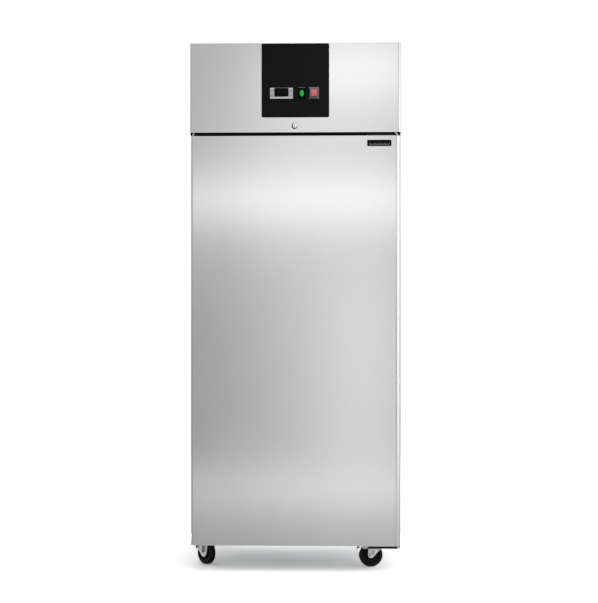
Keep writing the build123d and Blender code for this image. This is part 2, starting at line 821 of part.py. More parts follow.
def shelf_grid(number):
    """A welded grid: round bars in front and at the back, flat sides, and deck bars on top."""
    z, r = shelf_height(number), shelf_frame_wire
    front, back = shelf_front, shelf_back
    solids = [rod(r, (-shelf_half, y, z), (shelf_half, y, z)) for y in (front + r, back - r)]
    for x in (-shelf_half, shelf_half - 2 * r):
        solids.append(block(x, x + 2 * r, front + 2 * r, back - 2 * r, z - r, z + r))
    first = shelf_bar_width / 2 - shelf_half
    for step in range(shelf_bar_count):
        x = first - 2 * first * step / (shelf_bar_count - 1)
        solids.append(block(x - shelf_bar_width / 2, x + shelf_bar_width / 2, front, back,
                            z + r, z + r + shelf_bar_height))
    return Compound(children=solids)


def interior_lamp():
    """A lamp bar under the front of the ceiling, with sloping sides."""
    y = cabinet_front + lamp_bar_setback
    bar = block(-lamp_bar_length / 2, lamp_bar_length / 2, y - lamp_bar_width / 2, y + lamp_bar_width / 2,
                cavity_ceiling - lamp_bar_depth, cavity_ceiling)
    return chamfer(bar.faces().sort_by(Axis.Z)[0].edges(), lamp_bar_depth / 2)


# Door switch

def door_switch():
    """The switch's housing: a flange on the front frame and a body behind it, bored for the plunger."""
    body = window(switch_width, switch_height, switch_x, switch_z, cabinet_front - switch_flange, cabinet_front)
    body += switch_pocket()
    return body - window(plunger_width + 2 * slide_gap, plunger_height + 2 * slide_gap, switch_x, switch_z,
                         cabinet_front - switch_flange, door_back + 2 * seat_gap + plunger_length)


def door_switch_plunger():
    """The pin that the closed door holds in."""
    front = door_back + seat_gap
    return window(plunger_width, plunger_height, switch_x, switch_z, front, front + plunger_length)


# Evaporator unit

def evaporator_cover():
    """The housing that hangs from the ceiling, with a round air inlet in front and an open back."""
    def tub(inset, y_high, z_high):
        half = evap_width / 2 - inset
        body = block(-half, half, evap_front + inset, y_high, evap_low + inset, z_high)
        nose = body.edges().filter_by(Axis.X).group_by(Axis.Y)[0].sort_by(Axis.Z)[0]
        return chamfer(nose, evap_chamfer)
    cover = tub(0, evap_back, cavity_ceiling)
    cover -= tub(evap_sheet, evap_back + cut_past, cavity_ceiling + cut_past)
    half = evap_width / 2
    cover += block(-half, half, evap_back - evap_sheet, evap_back, evap_low, evap_low + evap_sill)
    cover -= rod(evap_fan_radius + fan_gap, (0, evap_front - cut_past, evap_fan_z),
                 (0, evap_front + 2 * evap_sheet, evap_fan_z))
    return cover - drain_run(drain_radius)


def folded_fin(x_low, x_high, y_low, y_high, z_low, z_high, folds):
    """A strip of sheet folded to and fro between two flat tubes."""
    step = (x_high - x_low) / folds
    rise = z_high - z_low - fin_thickness
    low = [(x_low + step * fold, z_low + rise * (fold % 2)) for fold in range(folds + 1)]
    high = [(x, z + fin_thickness) for x, z in reversed(low)]
    return extrude(facing(0, y_high, 0) * make_face(Polyline(*low, *high, low[0])), amount=y_high - y_low)


def flat_tube_coil(width, height, depth, tubes, folds, x_middle, y_low, z_low):
    """Two upright headers, flat tubes between them and folded fins between the tubes."""
    y_high = y_low + depth
    y_middle = y_low + depth / 2
    left, right = x_middle - width / 2, x_middle + width / 2
    pitch = (height - flat_tube) / (tubes - 1)
    solids = [rod(header_radius, (x, y_middle, z_low - header_end), (x, y_middle, z_low + height + header_end))
              for x in (left - header_radius, right + header_radius)]
    for row in range(tubes):
        z = z_low + pitch * row
        solids.append(block(left, right, y_low, y_high, z, z + flat_tube))
        if row:
            solids.append(folded_fin(left, right, y_low, y_high, z - pitch + flat_tube, z, folds))
    return Compound(children=solids)


def evaporator_coil():
    y_low = evap_back - evap_coil_gap - evap_coil_depth
    return flat_tube_coil(evap_coil_width, evap_coil_height, evap_coil_depth, evap_tube_count,
                          evap_fold_count, 0, y_low, evap_low + evap_sheet + header_end)


def fan_blades(radius, hub, depth, x, y, z):
    """Flat blades set at a pitch round a hub that is closed in front."""
    body = rod(hub, (x, y, z), (x, y + depth, z))
    far = 2 * radius
    across, along = far * sin(radians(blade_span)), far * cos(radians(blade_span))
    wedge = make_face(Polyline((0, 0), (along, -across), (far, 0), (along, across), (0, 0)))
    ring = Circle(radius) - Circle(hub - blade_thickness)
    blade = Rot(blade_pitch, 0, 0) * extrude(ring & wedge, amount=blade_thickness / 2, both=True)
    seat = facing(x, y + depth / 2, z).location
    for step in range(blade_count):
        body += seat * Rot(0, 0, 360 * step / blade_count) * blade
    return body - rod(shaft_radius + pin_clearance, (x, y + hub_front, z), (x, y + depth + cut_past, z))


def evaporator_fan():
    return fan_blades(evap_fan_radius, evap_fan_hub, evap_fan_depth, 0, evap_fan_y, evap_fan_z)


def condenser_fan():
    return fan_blades(condenser_fan_radius, condenser_fan_hub, condenser_fan_depth,
                      condenser_x, condenser_fan_y, condenser_fan_z)


def fan_motor(radius, length, bar_half, x, fan_y, fan_depth, z):
    """A can on a flat cross bar, with its shaft reaching forward into the fan's hub."""
    front = fan_y + fan_depth + motor_gap
    can = rod(radius, (x, front, z), (x, front + length, z))
    can += rod(shaft_radius, (x, fan_y + hub_front + seat_gap, z), (x, front, z))
    return can + block(x - bar_half, x + bar_half, front + motor_gap, front + motor_gap + motor_bar_thickness,
                       z - motor_bar / 2, z + motor_bar / 2)


def fan_motors():
    """Both fan motors, one solid each."""
    evap = fan_motor(evap_motor_radius, evap_motor_length, evap_width / 2 - evap_sheet,
                     0, evap_fan_y, evap_fan_depth, evap_fan_z)
    unit = fan_motor(condenser_motor_radius, condenser_motor_length, condenser_width / 2 - shroud_sheet,
                     condenser_x, condenser_fan_y, condenser_fan_depth, condenser_fan_z)
    return Compound(children=[evap, unit])


def drain_run(radius):
    """The drain's path as a solid bar: out of the evaporator's tray and down inside the back wall."""
    z = evap_low + evap_sheet + drain_radius
    return pipe(radius, [(drain_x, evap_back - drain_start, z), (drain_x, drain_y, z),
                         (drain_x, drain_y, base_z - drain_drop)], drain_bend)


def drain_tube():
    return drain_run(drain_radius) - drain_run(drain_bore)


# Condensing unit

def unit_base():
    """The pressed steel tray on two rails that the machinery stands on."""
    half = unit_base_width / 2
    front, back = unit_front, unit_back
    tray = block(-half, half, front, back, base_top - unit_sheet, base_top + unit_edge)
    tray -= block(unit_sheet - half, half - unit_sheet, front + unit_sheet, back - unit_sheet,
                  base_top, base_top + unit_edge + cut_past)
    for x in (-half + rail_inset, half - rail_inset):
        tray += block(x - rail_width / 2, x + rail_width / 2, front, back, deck_z, base_top - unit_sheet)
    return tray


def condenser_coil():
    return flat_tube_coil(condenser_width, condenser_height, condenser_depth, condenser_tube_count,
                          condenser_fold_count, condenser_x, condenser_y, condenser_low)


def condenser_shroud():
    """The sheet box behind the coil, with the fan's opening and cheeks for the motor's bar."""
    left, right = condenser_x - condenser_width / 2, condenser_x + condenser_width / 2
    front, top = condenser_y + condenser_depth, condenser_low + condenser_height
    box = block(left, right, front, shroud_back, condenser_low, top)
    box -= block(left + shroud_sheet, right - shroud_sheet, front - cut_past, shroud_back - shroud_sheet,
                 condenser_low + shroud_sheet, top - shroud_sheet)
    box -= rod(condenser_fan_radius + fan_gap, (condenser_x, shroud_back - 2 * shroud_sheet, condenser_fan_z),
               (condenser_x, shroud_back + cut_past, condenser_fan_z))
    cheek_back = condenser_fan_y + condenser_fan_depth + 3 * motor_gap
    for x in (left, right - shroud_sheet):
        box += block(x, x + shroud_sheet, shroud_back, cheek_back,
                     condenser_fan_z - cheek_height / 2, condenser_fan_z + cheek_height / 2)
        box += block(x, x + shroud_sheet, front, shroud_back, base_top, condenser_low)
    return box


def compressor():
    """A hermetic compressor: a can with a sloping shoulder, its terminal box, a plate and four feet."""
    r, low, top = compressor_radius, compressor_low, compressor_top
    terminal = low + compressor_height / 2
    body = rod(r, (0, 0, low), (0, 0, top))
    body = chamfer(body.faces().sort_by(Axis.Z)[-1].edges(), compressor_shoulder)
    half_x, half_y = r + compressor_plate_reach, 0.75 * r
    body += block(-half_x, half_x, -half_y, half_y, low - compressor_plate, low)
    body += block(-terminal_width / 2, terminal_width / 2, -r - terminal_depth / 2, -r + terminal_depth / 2,
                  terminal - terminal_height / 2, terminal + terminal_height / 2)
    foot = compressor_foot_size / 2
    for x in (compressor_foot_inset - half_x, half_x - compressor_foot_inset):
        for y in (compressor_foot_inset - half_y, half_y - compressor_foot_inset):
            body += block(x - foot, x + foot, y - foot, y + foot, base_top, low - compressor_plate)
    return Pos(compressor_x, compressor_y, 0) * body


def pipework():
    """Copper lines: discharge to the coil, liquid down to the deck, suction up from the deck."""
    coil_y = condenser_y + condenser_depth / 2
    right = condenser_x + condenser_width / 2 + header_radius
    left = condenser_x - condenser_width / 2 - header_radius
    header_top = condenser_low + condenser_height + header_end
    high = header_top + 1.6 * pipe_bend
    start_x = compressor_x - 0.3 * compressor_radius
    discharge = pipe(pipe_radius, [(start_x, compressor_y, compressor_top), (start_x, compressor_y, high),
                                   (right, coil_y, high), (right, coil_y, header_top)], pipe_bend)
    behind = unit_back + pipe_bend
    low = condenser_low + pipe_bend
    liquid = pipe(pipe_radius, [(left, coil_y + header_radius, low), (left, behind, low),
                                (left, behind, deck_z)], pipe_bend)
    side = compressor_y + compressor_radius
    turn = base_top + compressor_height * 0.7
    suction = pipe(suction_radius, [(compressor_x, behind + pipe_bend, deck_z),
                                    (compressor_x, behind + pipe_bend, turn),
                                    (compressor_x, side, turn)], pipe_bend)
    return Compound(children=[discharge, liquid, suction])


def control_box():
    """The terminal box on the deck, with the mains cord's gland through the rear grille."""
    half = control_box_width / 2
    box = block(control_box_x - half, control_box_x + half, control_box_back - control_box_depth,
                control_box_back, deck_z, deck_z + control_box_height)
    box = chamfer(box.faces().sort_by(Axis.Z)[-1].edges(), control_box_edge)
    box += rod(gland_radius, (control_box_x, control_box_back, gland_z), (control_box_x, back_y, gland_z))
    nut = extrude(facing(control_box_x, control_box_back + gland_nut_depth, gland_z)
                  * RegularPolygon(gland_nut, 6), amount=gland_nut_depth)
    return box + nut


# Castors

def castor_place(name):
    """Kingpin position on the floor plan, and the angle its wheel trails at."""
    x = castor_x if name.endswith("right") else -castor_x
    y = cabinet_front + castor_inset if name.startswith("front") else back_y - castor_inset
    return x, y, trail_angles[castor_names.index(name)]


def turned(name, shape):
    """Puts a castor part, drawn with its wheel trailing along +X, under its corner of the cabinet."""
    x, y, angle = castor_place(name)
    return Pos(x, y, 0) * Rot(0, 0, angle) * shape


def castor_plates():
    """Four plates under the base pan, each with its raceway and the kingpin that the fork turns on."""
    low = base_z - castor_plate_thickness
    race_low = low - race_height
    plates = []
    for name in castor_names:
        x, y, angle = castor_place(name)
        plate = block(-castor_plate_width / 2, castor_plate_width / 2, -castor_plate_length / 2,
                      castor_plate_length / 2, low, base_z)
        plate += rod(race_radius, (0, 0, race_low), (0, 0, low))
        plate += rod(kingpin_radius, (0, 0, crown_low - kingpin_end), (0, 0, race_low))
        plates.append(Pos(x, y, 0) * plate)
    return Compound(children=plates)


def castor_fork(name):
    """A pressed fork: crown, two tapering legs, and the axle bolt with its heads."""
    inner = wheel_width / 2 + fork_side_gap
    outer = inner + fork_sheet
    fork = block(-fork_back, fork_front, -outer, outer, crown_low, crown_low + crown_plate)
    foot = Pos(castor_trail, wheel_radius) * Circle(fork_end_radius)
    leg = make_hull(foot.edges() + Polyline((-fork_back, crown_low), (fork_front, crown_low)).edges())
    for y in (outer, -inner):
        fork += extrude(facing(0, y, 0) * leg, amount=fork_sheet)
    fork -= rod(kingpin_radius + axle_clearance, (0, 0, crown_low - cut_past), (0, 0, base_z))
    fork += rod(axle_radius, (castor_trail, -outer, wheel_radius), (castor_trail, outer, wheel_radius))
    head = RegularPolygon(axle_head_radius, 6)
    fork += extrude(facing(castor_trail, -outer, wheel_radius) * head, amount=axle_head)
    fork += extrude(facing(castor_trail, outer + axle_head, wheel_radius) * head, amount=axle_head)
    if name.startswith("front"):
        fork += rod(pedal_pin_radius, (pedal_pivot, -inner, pivot_z), (pedal_pivot, inner, pivot_z))
    return turned(name, fork)


def castor_wheel(name):
    """A solid wheel with its axle bore."""
    disc = Circle(wheel_radius) - Circle(axle_radius + axle_clearance)
    seat = Plane(origin=(castor_trail, wheel_width / 2, wheel_radius), x_dir=(0, 0, -1), z_dir=(0, -1, 0))
    return turned(name, extrude(seat * disc, amount=wheel_width))


def brake_pedal(name):
    """The front castor's brake lever: a knuckle on the fork's pin and a plate with a bent tip."""
    half, thick = pedal_width / 2, pedal_thickness / 2
    tip = radians(3 * pedal_slope)
    end = pedal_length + pedal_tip * cos(tip), -pedal_tip * sin(tip)
    plate = make_face(Polyline((0, thick), (pedal_length, thick), (end[0] + thick, end[1]),
                               (end[0] - thick, end[1] - thick), (pedal_length - thick, -thick),
                               (0, -thick), (0, thick)))
    pedal = extrude(facing(0, half, 0) * plate, amount=pedal_width)
    pedal += block(-pedal_knuckle, pedal_knuckle, -half, half, -pedal_knuckle, pedal_knuckle)
    pedal -= rod(pedal_pin_radius + axle_clearance, (0, -half - cut_past, 0), (0, half + cut_past, 0))
    return turned(name, Pos(pedal_pivot, 0, pivot_z) * Rot(0, pedal_slope, 0) * pedal)


# One file for each named piece

os.makedirs("parts", exist_ok=True)
key_names = ("key_upper_left", "key_lower_left", "key_upper_right", "key_lower_right")
pieces = {
    "outer_panels": outer_panels, "machine_deck": machine_deck, "base_pan": base_pan,
    "front_frame": front_frame, "breaker_strip": breaker_strip, "inner_liner": inner_liner,
    "cabinet_foam": cabinet_foam, "rear_grille": rear_grille, "hinge_brackets": hinge_brackets,
    "fascia_shell": fascia_shell, "control_plate": control_plate, "controller_case": controller_case,
    "controller_display": controller_display, "lamp_bezel": lamp_bezel, "lamp_lens": lamp_lens,
    "switch_bezel": switch_bezel, "switch_rocker": switch_rocker, "lock_body": lock_body,
    "lock_barrel": lock_barrel, "shelf_pilasters": shelf_pilasters, "shelf_clips": shelf_clips,
    "interior_lamp": interior_lamp, "door_switch": door_switch, "door_switch_plunger": door_switch_plunger,
    "evaporator_cover": evaporator_cover, "evaporator_coil": evaporator_coil, "evaporator_fan": evaporator_fan,
    "fan_motors": fan_motors, "drain_tube": drain_tube, "unit_base": unit_base,
    "condenser_coil": condenser_coil, "condenser_shroud": condenser_shroud, "condenser_fan": condenser_fan,
    "compressor": compressor, "pipework": pipework, "control_box": control_box,
    "castor_plates": castor_plates, "door_skin": door_skin, "door_foam": door_foam,
    "door_inner_panel": door_inner_panel, "door_gasket": door_gasket, "door_grip": door_grip,
    "hinge_bushes": hinge_bushes,
}
for name, make in pieces.items():
    export_step(make(), f"parts/{name}.step")
for number, name in enumerate(("lower", "middle", "upper")):
    export_step(shelf_grid(number), f"parts/shelf_{name}.step")
for name, place in zip(key_names, key_places()):
    export_step(controller_key(*place), f"parts/{name}.step")
for name in castor_names:
    export_step(castor_fork(name), f"parts/fork_{name}.step")
    export_step(castor_wheel(name), f"parts/wheel_{name}.step")
for name in castor_names[:2]:
    export_step(brake_pedal(name), f"parts/pedal_{name}.step")
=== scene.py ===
import json
import bmesh
import bpy
from math import cos, pi, radians, sin
from mathutils import Matrix, Vector

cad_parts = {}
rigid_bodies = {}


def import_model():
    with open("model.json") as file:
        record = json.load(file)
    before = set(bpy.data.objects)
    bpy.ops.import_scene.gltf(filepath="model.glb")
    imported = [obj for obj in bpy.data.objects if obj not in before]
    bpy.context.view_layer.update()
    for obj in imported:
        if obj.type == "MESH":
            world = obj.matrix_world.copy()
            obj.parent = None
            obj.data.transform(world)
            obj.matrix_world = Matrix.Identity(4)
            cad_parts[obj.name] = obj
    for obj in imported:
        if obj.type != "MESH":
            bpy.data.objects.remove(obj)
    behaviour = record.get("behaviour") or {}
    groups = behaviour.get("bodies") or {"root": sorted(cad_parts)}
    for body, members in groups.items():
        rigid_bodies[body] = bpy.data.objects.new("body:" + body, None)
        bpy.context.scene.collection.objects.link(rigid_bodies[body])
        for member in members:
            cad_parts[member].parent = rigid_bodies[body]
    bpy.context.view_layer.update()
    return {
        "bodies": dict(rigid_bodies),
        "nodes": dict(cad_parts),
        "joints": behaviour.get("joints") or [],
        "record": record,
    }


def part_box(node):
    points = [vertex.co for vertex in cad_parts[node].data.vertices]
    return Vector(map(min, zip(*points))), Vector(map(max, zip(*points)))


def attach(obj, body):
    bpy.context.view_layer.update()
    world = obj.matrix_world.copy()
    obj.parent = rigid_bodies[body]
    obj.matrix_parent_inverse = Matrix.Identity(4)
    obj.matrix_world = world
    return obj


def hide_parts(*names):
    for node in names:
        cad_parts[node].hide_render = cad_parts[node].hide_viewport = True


# An upright stainless refrigerator on four castors. Everything is in metres, in the part's own frame.
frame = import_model()
nodes = frame["nodes"]
joints = {joint["name"]: joint for joint in frame["joints"]}
print("frame loaded:", len(nodes), "nodes")

# Camera, floor and light

shot = {"distance": 5.9, "height": 1.0, "turn": 2.1, "aim": 0.0136, "frontFace": -0.39, "lens": 95.38,
        "sensor": 36.0, "reach": 200.0}
studio = {"roomLight": 0.62, "mirroredRoom": 0.675, "floor": 0.62, "floorSeen": 2.03, "floorReach": 60.0}


def addObject(name, data):
    made = bpy.data.objects.new(name, data)
    bpy.context.scene.collection.objects.link(made)
    return made


def addNode(tree, kind, inputs=None, **settings):
    node = tree.nodes.new("ShaderNode" + kind)
    for key, value in settings.items():
        setattr(node, key, value)
    for socket, value in (inputs or {}).items():
        node.inputs[socket].default_value = value
    return node


def joinSockets(tree, *pairs):
    for first, second in pairs:
        tree.links.new(first, second)


def placeCamera(distance, height, turn, aim, frontFace, lens, sensor, reach):
    data = bpy.data.cameras.new("studioCamera")
    data.sensor_width = sensor
    data.lens = lens
    data.clip_end = reach
    camera = addObject("studioCamera", data)
    turn = radians(turn)
    camera.location = (aim + distance * sin(turn), frontFace - distance * cos(turn), height)
    camera.rotation_euler = (radians(90), 0, turn)
    bpy.context.scene.camera = camera


def lightStudio():
    scene = bpy.context.scene
    scene.view_settings.view_transform = "Standard"
    scene.world = bpy.data.worlds.new("studioRoom")
    scene.world.use_nodes = True
    tree = scene.world.node_tree
    tree.nodes.clear()
    white = (1, 1, 1, 1)
    rays = addNode(tree, "LightPath")
    room = addNode(tree, "Background", {"Strength": studio["roomLight"]})
    # the same room as metal mirrors it, and the white backdrop that the camera sees
    mirrored = addNode(tree, "Background", {"Color": white, "Strength": studio["mirroredRoom"]})
    paper = addNode(tree, "Background", {"Color": white})
    seen = addNode(tree, "Math", operation="MAXIMUM")
    first = addNode(tree, "MixShader")
    last = addNode(tree, "MixShader")
    out = addNode(tree, "OutputWorld")
    joinSockets(tree, (rays.outputs["Is Camera Ray"], seen.inputs[0]),
                (rays.outputs["Is Transmission Ray"], seen.inputs[1]),
                (rays.outputs["Is Glossy Ray"], first.inputs[0]), (room.outputs[0], first.inputs[1]),
                (mirrored.outputs[0], first.inputs[2]), (seen.outputs[0], last.inputs[0]),
                (first.outputs[0], last.inputs[1]), (paper.outputs[0], last.inputs[2]),
                (last.outputs[0], out.inputs["Surface"]))


# A lamp without an aim shines straight at the door. No two strips stand in one plane, or the steel
# mirrors only one of them.
lamps = {
    "rightStrip": {"place": (0.28, -1.7, 1.12), "size": (0.35, 2.2), "power": 1.34},
    "rightLowStrip": {"place": (0.28, -1.72, 0.7), "size": (0.4, 0.8), "power": 0.36},
    "middleStrip": {"place": (-0.1, -1.74, 1.15), "size": (0.35, 2.2), "power": 0.81},
    "leftHighStrip": {"place": (-0.15, -1.76, 1.75), "size": (0.5, 0.8), "power": 0.27},
    "bandStrip": {"place": (0.0, -1.1, 1.42), "size": (1.4, 0.16), "power": 0.65},
    "highStrip": {"place": (0.25, -1.2, 1.99), "size": (0.6, 0.25), "power": 0.42},
    "lowStrip": {"place": (0.0, -1.1, 0.22), "size": (1.3, 0.14), "power": 0.36},
    "rightSoftbox": {"place": (2.5, -1.3, 1.1), "aim": (0.39, -0.35, 1.0), "size": (2.8, 2.8), "power": 29},
    "rightRear": {"place": (2.3, 1.3, 1.2), "aim": (0.39, -0.35, 1.0), "size": (1.4, 2.4), "power": 11},
    "topSoftbox": {"place": (0.0, -0.3, 4.2), "aim": (0.0, 0.0, 1.0), "size": (2.4, 2.4), "power": 20},
    "backSoftbox": {"place": (0.8, 3.6, 2.4), "aim": (0.0, 0.3, 1.1), "size": (2.0, 2.0), "power": 16},
    # close to the floor, shining forwards under the base
    "underGlow": {"place": (0.0, 0.62, 0.055), "aim": (0.0, -0.1, 0.0), "size": (1.1, 0.06), "power": 1.7,
                  "spread": 110},
}


def hangLamps():
    for name, lamp in lamps.items():
        light = bpy.data.lights.new(name, "AREA")
        light.shape = "RECTANGLE"
        light.size, light.size_y = lamp["size"]
        light.energy = lamp["power"]
        light.spread = radians(lamp.get("spread", 180))
        x, y, z = lamp["place"]
        aim = Vector(lamp.get("aim", (x, shot["frontFace"], z))) - Vector((x, y, z))
        holder = addObject(name, light)
        holder.location = (x, y, z)
        holder.rotation_euler = aim.to_track_quat("-Z", "Y").to_euler()
        holder.visible_camera = False


def layFloor():
    bm = bmesh.new()
    reach = studio["floorReach"]
    bm.faces.new([bm.verts.new((x * reach, y * reach, 0)) for x, y in ((-1, -1), (1, -1), (1, 1), (-1, 1))])
    mesh = bpy.data.meshes.new("paperFloor")
    bm.to_mesh(mesh)
    bm.free()
    floor = addObject("paperFloor", mesh)
    material = bpy.data.materials.new("paperFloor")
    material.use_nodes = True
    tree = material.node_tree
    tree.nodes.clear()
    rays = addNode(tree, "LightPath")
    tone = addNode(tree, "Mix", {6: (*[studio["floor"]] * 3, 1), 7: (*[studio["floorSeen"]] * 3, 1)},
                   data_type="RGBA")
    matt = addNode(tree, "BsdfDiffuse")
    out = addNode(tree, "OutputMaterial")
    joinSockets(tree, (rays.outputs["Is Camera Ray"], tone.inputs[0]),
                (tone.outputs[2], matt.inputs["Color"]),
                (matt.outputs[0], out.inputs["Surface"]))
    mesh.materials.append(material)


placeCamera(**shot)
lightStudio()
hangLamps()
layFloor()
print("studio ready")

# Finishes: colour, roughness, metallic, how fine the pattern runs along x, y and z, how far the colour
# wanders, how far the roughness wanders, how deep the pattern stands, and what else the shader is told

finishes = {
    "stainless": ((0.63, 0.63, 0.63), 0.32, 1, (1300, 1300, 14), 0.035, 0.03, 0.03),
    "galvanised": ((0.5, 0.52, 0.53), 0.48, 0.9, 70, 0.16, 0.1, 0.04),
    "zinc": ((0.6, 0.6, 0.59), 0.34, 0.95, 500, 0.1, 0.08, 0.06),
    "chrome_trim": ((0.78, 0.78, 0.79), 0.12, 1, 900, 0.05, 0.03, 0.01),
    "insulation": ((0.78, 0.7, 0.48), 0.9, 0, 260, 0.14, 0.05, 0.5),
    "breaker": ((0.62, 0.62, 0.61), 0.45, 0, 800, 0.04, 0.06, 0.12),
    "grip": ((0.035, 0.035, 0.036), 0.42, 0, 1200, 0.15, 0.08, 0.2),
    "gasket": ((0.003, 0.003, 0.003), 0.7, 0, 900, 0.15, 0.08, 0.15, {"Specular IOR Level": 0.04}),
    "black_panel": ((0.0075, 0.0077, 0.0085), 0.36, 0, 700, 0.12, 0.04, 0.03, {"Specular IOR Level": 0.04}),
    "controller": ((0.55, 0.56, 0.57), 0.38, 0.2, 1500, 0.05, 0.05, 0.08),
    "display": ((0.0015, 0.0015, 0.0018), 0.1, 0, 600, 0.2, 0.02, 0.01, {"Specular IOR Level": 0.05}),
    "keys": ((0.36, 0.365, 0.37), 0.4, 0, 1500, 0.06, 0.05, 0.1),
    "bezel": ((0.001, 0.001, 0.001), 0.25, 0, 900, 0.12, 0.05, 0.05, {"Specular IOR Level": 0.02}),
    "green_lens": ((0.0, 0.26, 0.03), 0.16, 0, 420, 0.14, 0.04, 0.15,
                   {"Emission Color": (0.0, 0.55, 0.05, 1), "Emission Strength": 0.35,
                    "Specular IOR Level": 0.35}),
    "red_rocker": ((0.48, 0.085, 0.085), 0.22, 0, 600, 0.08, 0.05, 0.06,
                   {"Emission Color": (0.75, 0.09, 0.09, 1), "Emission Strength": 0.3,
                    "Specular IOR Level": 0.5}),
    "grey_bezel": ((0.085, 0.085, 0.09), 0.2, 0.9, 900, 0.08, 0.05, 0.04),
    "lamp_cover": ((0.86, 0.86, 0.83), 0.4, 0, 500, 0.03, 0.05, 0.08,
                   {"Subsurface Weight": 0.4, "Subsurface Radius": (0.01, 0.01, 0.01)}),
    "fan_black": ((0.02, 0.02, 0.021), 0.4, 0, 800, 0.15, 0.08, 0.12),
    "aluminium_coil": ((0.66, 0.67, 0.68), 0.36, 1, (600, 60, 600), 0.1, 0.08, 0.08),
    "motor": ((0.055, 0.055, 0.06), 0.38, 0, 600, 0.12, 0.08, 0.15),
    "compressor_black": ((0.012, 0.012, 0.013), 0.28, 0, 500, 0.2, 0.08, 0.1, {"Coat Weight": 0.4}),
    "copper": ((0.68, 0.3, 0.16), 0.28, 1, 160, 0.16, 0.08, 0.03),
    "drain": ((0.52, 0.53, 0.54), 0.5, 0, 600, 0.06, 0.06, 0.08),
    "box_grey": ((0.17, 0.175, 0.18), 0.5, 0, 1100, 0.08, 0.06, 0.2),
    "wheel": ((0.0015, 0.0015, 0.0015), 0.32, 0, 900, 0.25, 0.06, 0.08, {"Specular IOR Level": 0.14}),
    "pedal_black": ((0.012, 0.012, 0.012), 0.36, 0, 900, 0.2, 0.08, 0.1),
    "nylon": ((0.72, 0.72, 0.7), 0.42, 0, 900, 0.05, 0.05, 0.05),
    # finishes of the small pieces that only show here
    "wheelWeb": ((0.002, 0.002, 0.002), 0.26, 0, 700, 0.2, 0.06, 0.05, {"Specular IOR Level": 0.14}),
    # painted highlight: the light grey of the rings on the tyre's edges
    "tyreLine": ((0.1, 0.1, 0.1), 0.4, 0, 900, 0.25, 0.08, 0.05),
    # painted highlight on the switch frame's upper face
    "switchTopHighlight": ((0.26, 0.26, 0.27), 0.35, 0.2, 900, 0.08, 0.05, 0.04),
    # painted shade in the front right fork's groove
    "forkGrooveShade": ((0.42, 0.42, 0.42), 0.45, 0.6, 400, 0.1, 0.06, 0.05),
    # painted shade on the fork plates, and painted highlight along the green lamp frame's edge
    "shadeAndHighlightGrey": ((0.32, 0.32, 0.32), 0.45, 0.5, 400, 0.12, 0.06, 0.05),
    # also the painted highlight disc on the front left fork
    "brightNut": ((0.98, 0.98, 0.97), 0.2, 0.55, 300, 0.1, 0.06, 0.05),
    "forkSteel": ((0.8, 0.8, 0.79), 0.36, 0.85, 260, 0.1, 0.08, 0.05),
    # painted shade: the lock body, dark so that a crescent of shade shows beside the rosette
    "lockBodyShade": ((0.03, 0.03, 0.03), 0.3, 0.8, 900, 0.12, 0.05, 0.04),
    "boltSteel": ((0.72, 0.72, 0.71), 0.2, 1, 900, 0.08, 0.06, 0.03),
    # painted shade: the hinge plates and their screws in near-black steel, for the shade under the door
    "shadedHingeSteel": ((0.012, 0.012, 0.012), 0.34, 0.6, 500, 0.12, 0.08, 0.05),
    # the black of the door plate and brake tips, and of the painted shade in the keyway, under the hinge plate
    # and on the front left fork
    "plateBlack": ((0.002, 0.002, 0.002), 0.35, 0, 900, 0.2, 0.05, 0.04, {"Specular IOR Level": 0.05}),
    "printGrey": ((0.26, 0.26, 0.26), 0.5, 0, 2500, 0.15, 0.05, 0.05),
    "shelfCoat": ((0.55, 0.56, 0.57), 0.34, 0, 700, 0.05, 0.06, 0.08),
}
# nodes that look other than their slot's name says: the hinge plates, near-black as painted shade, and the
# lock body, dark so that a crescent of painted shade shows round the rosette
nodeFinish = {"hinge_brackets": "shadedHingeSteel", "lock_body": "lockBodyShade"}
texture = {"fineDetail": 3.0, "broadScale": 5.0, "broadDetail": 2.0, "broadShare": 0.3, "depth": 0.0004}


def makeFinish(name, colour, roughness, metallic, grain, spread, gloss, relief, more=None):
    material = bpy.data.materials.new(name)
    material.use_nodes = True
    tree = material.node_tree
    shader = tree.nodes["Principled BSDF"]
    for socket, value in {"Metallic": metallic, **(more or {})}.items():
        shader.inputs[socket].default_value = value
    place = addNode(tree, "TexCoord")
    stretch = addNode(tree, "Mapping", {"Scale": grain if isinstance(grain, tuple) else (grain,) * 3})
    fine = addNode(tree, "TexNoise", {"Scale": 1.0, "Detail": texture["fineDetail"]})
    broad = addNode(tree, "TexNoise", {"Scale": texture["broadScale"], "Detail": texture["broadDetail"]})
    both = addNode(tree, "Mix", {0: texture["broadShare"]}, data_type="FLOAT")
    ramp = addNode(tree, "ValToRGB")
    for element, position, change in zip(ramp.color_ramp.elements, (0.3, 0.7), (1 - spread, 1 + spread)):
        element.position = position
        element.color = (*[min(1, part * change) for part in colour], 1)
    rough = addNode(tree, "MapRange", {"From Min": 0.25, "From Max": 0.75,
                                       "To Min": max(0.02, roughness - gloss),
                                       "To Max": min(1.0, roughness + gloss)})
    bump = addNode(tree, "Bump", {"Strength": relief, "Distance": texture["depth"]})
    joinSockets(tree, (place.outputs["Object"], stretch.inputs[0]),
                (stretch.outputs[0], fine.inputs["Vector"]),
                (place.outputs["Object"], broad.inputs["Vector"]), (fine.outputs[0], both.inputs[2]),
                (broad.outputs[0], both.inputs[3]), (both.outputs[0], ramp.inputs[0]),
                (both.outputs[0], rough.inputs["Value"]), (fine.outputs[0], bump.inputs["Height"]),
                (ramp.outputs["Color"], shader.inputs["Base Color"]),
                (rough.outputs[0], shader.inputs["Roughness"]), (bump.outputs[0], shader.inputs["Normal"]))
    return material


materials = {name: makeFinish(name, *values) for name, values in finishes.items()}
for nodeName, node in nodes.items():
    for holder in node.material_slots:
        holder.material = materials[nodeFinish.get(nodeName, holder.material.name.split(".")[0])]
print("finishes:", len(materials))

# Mesh tools


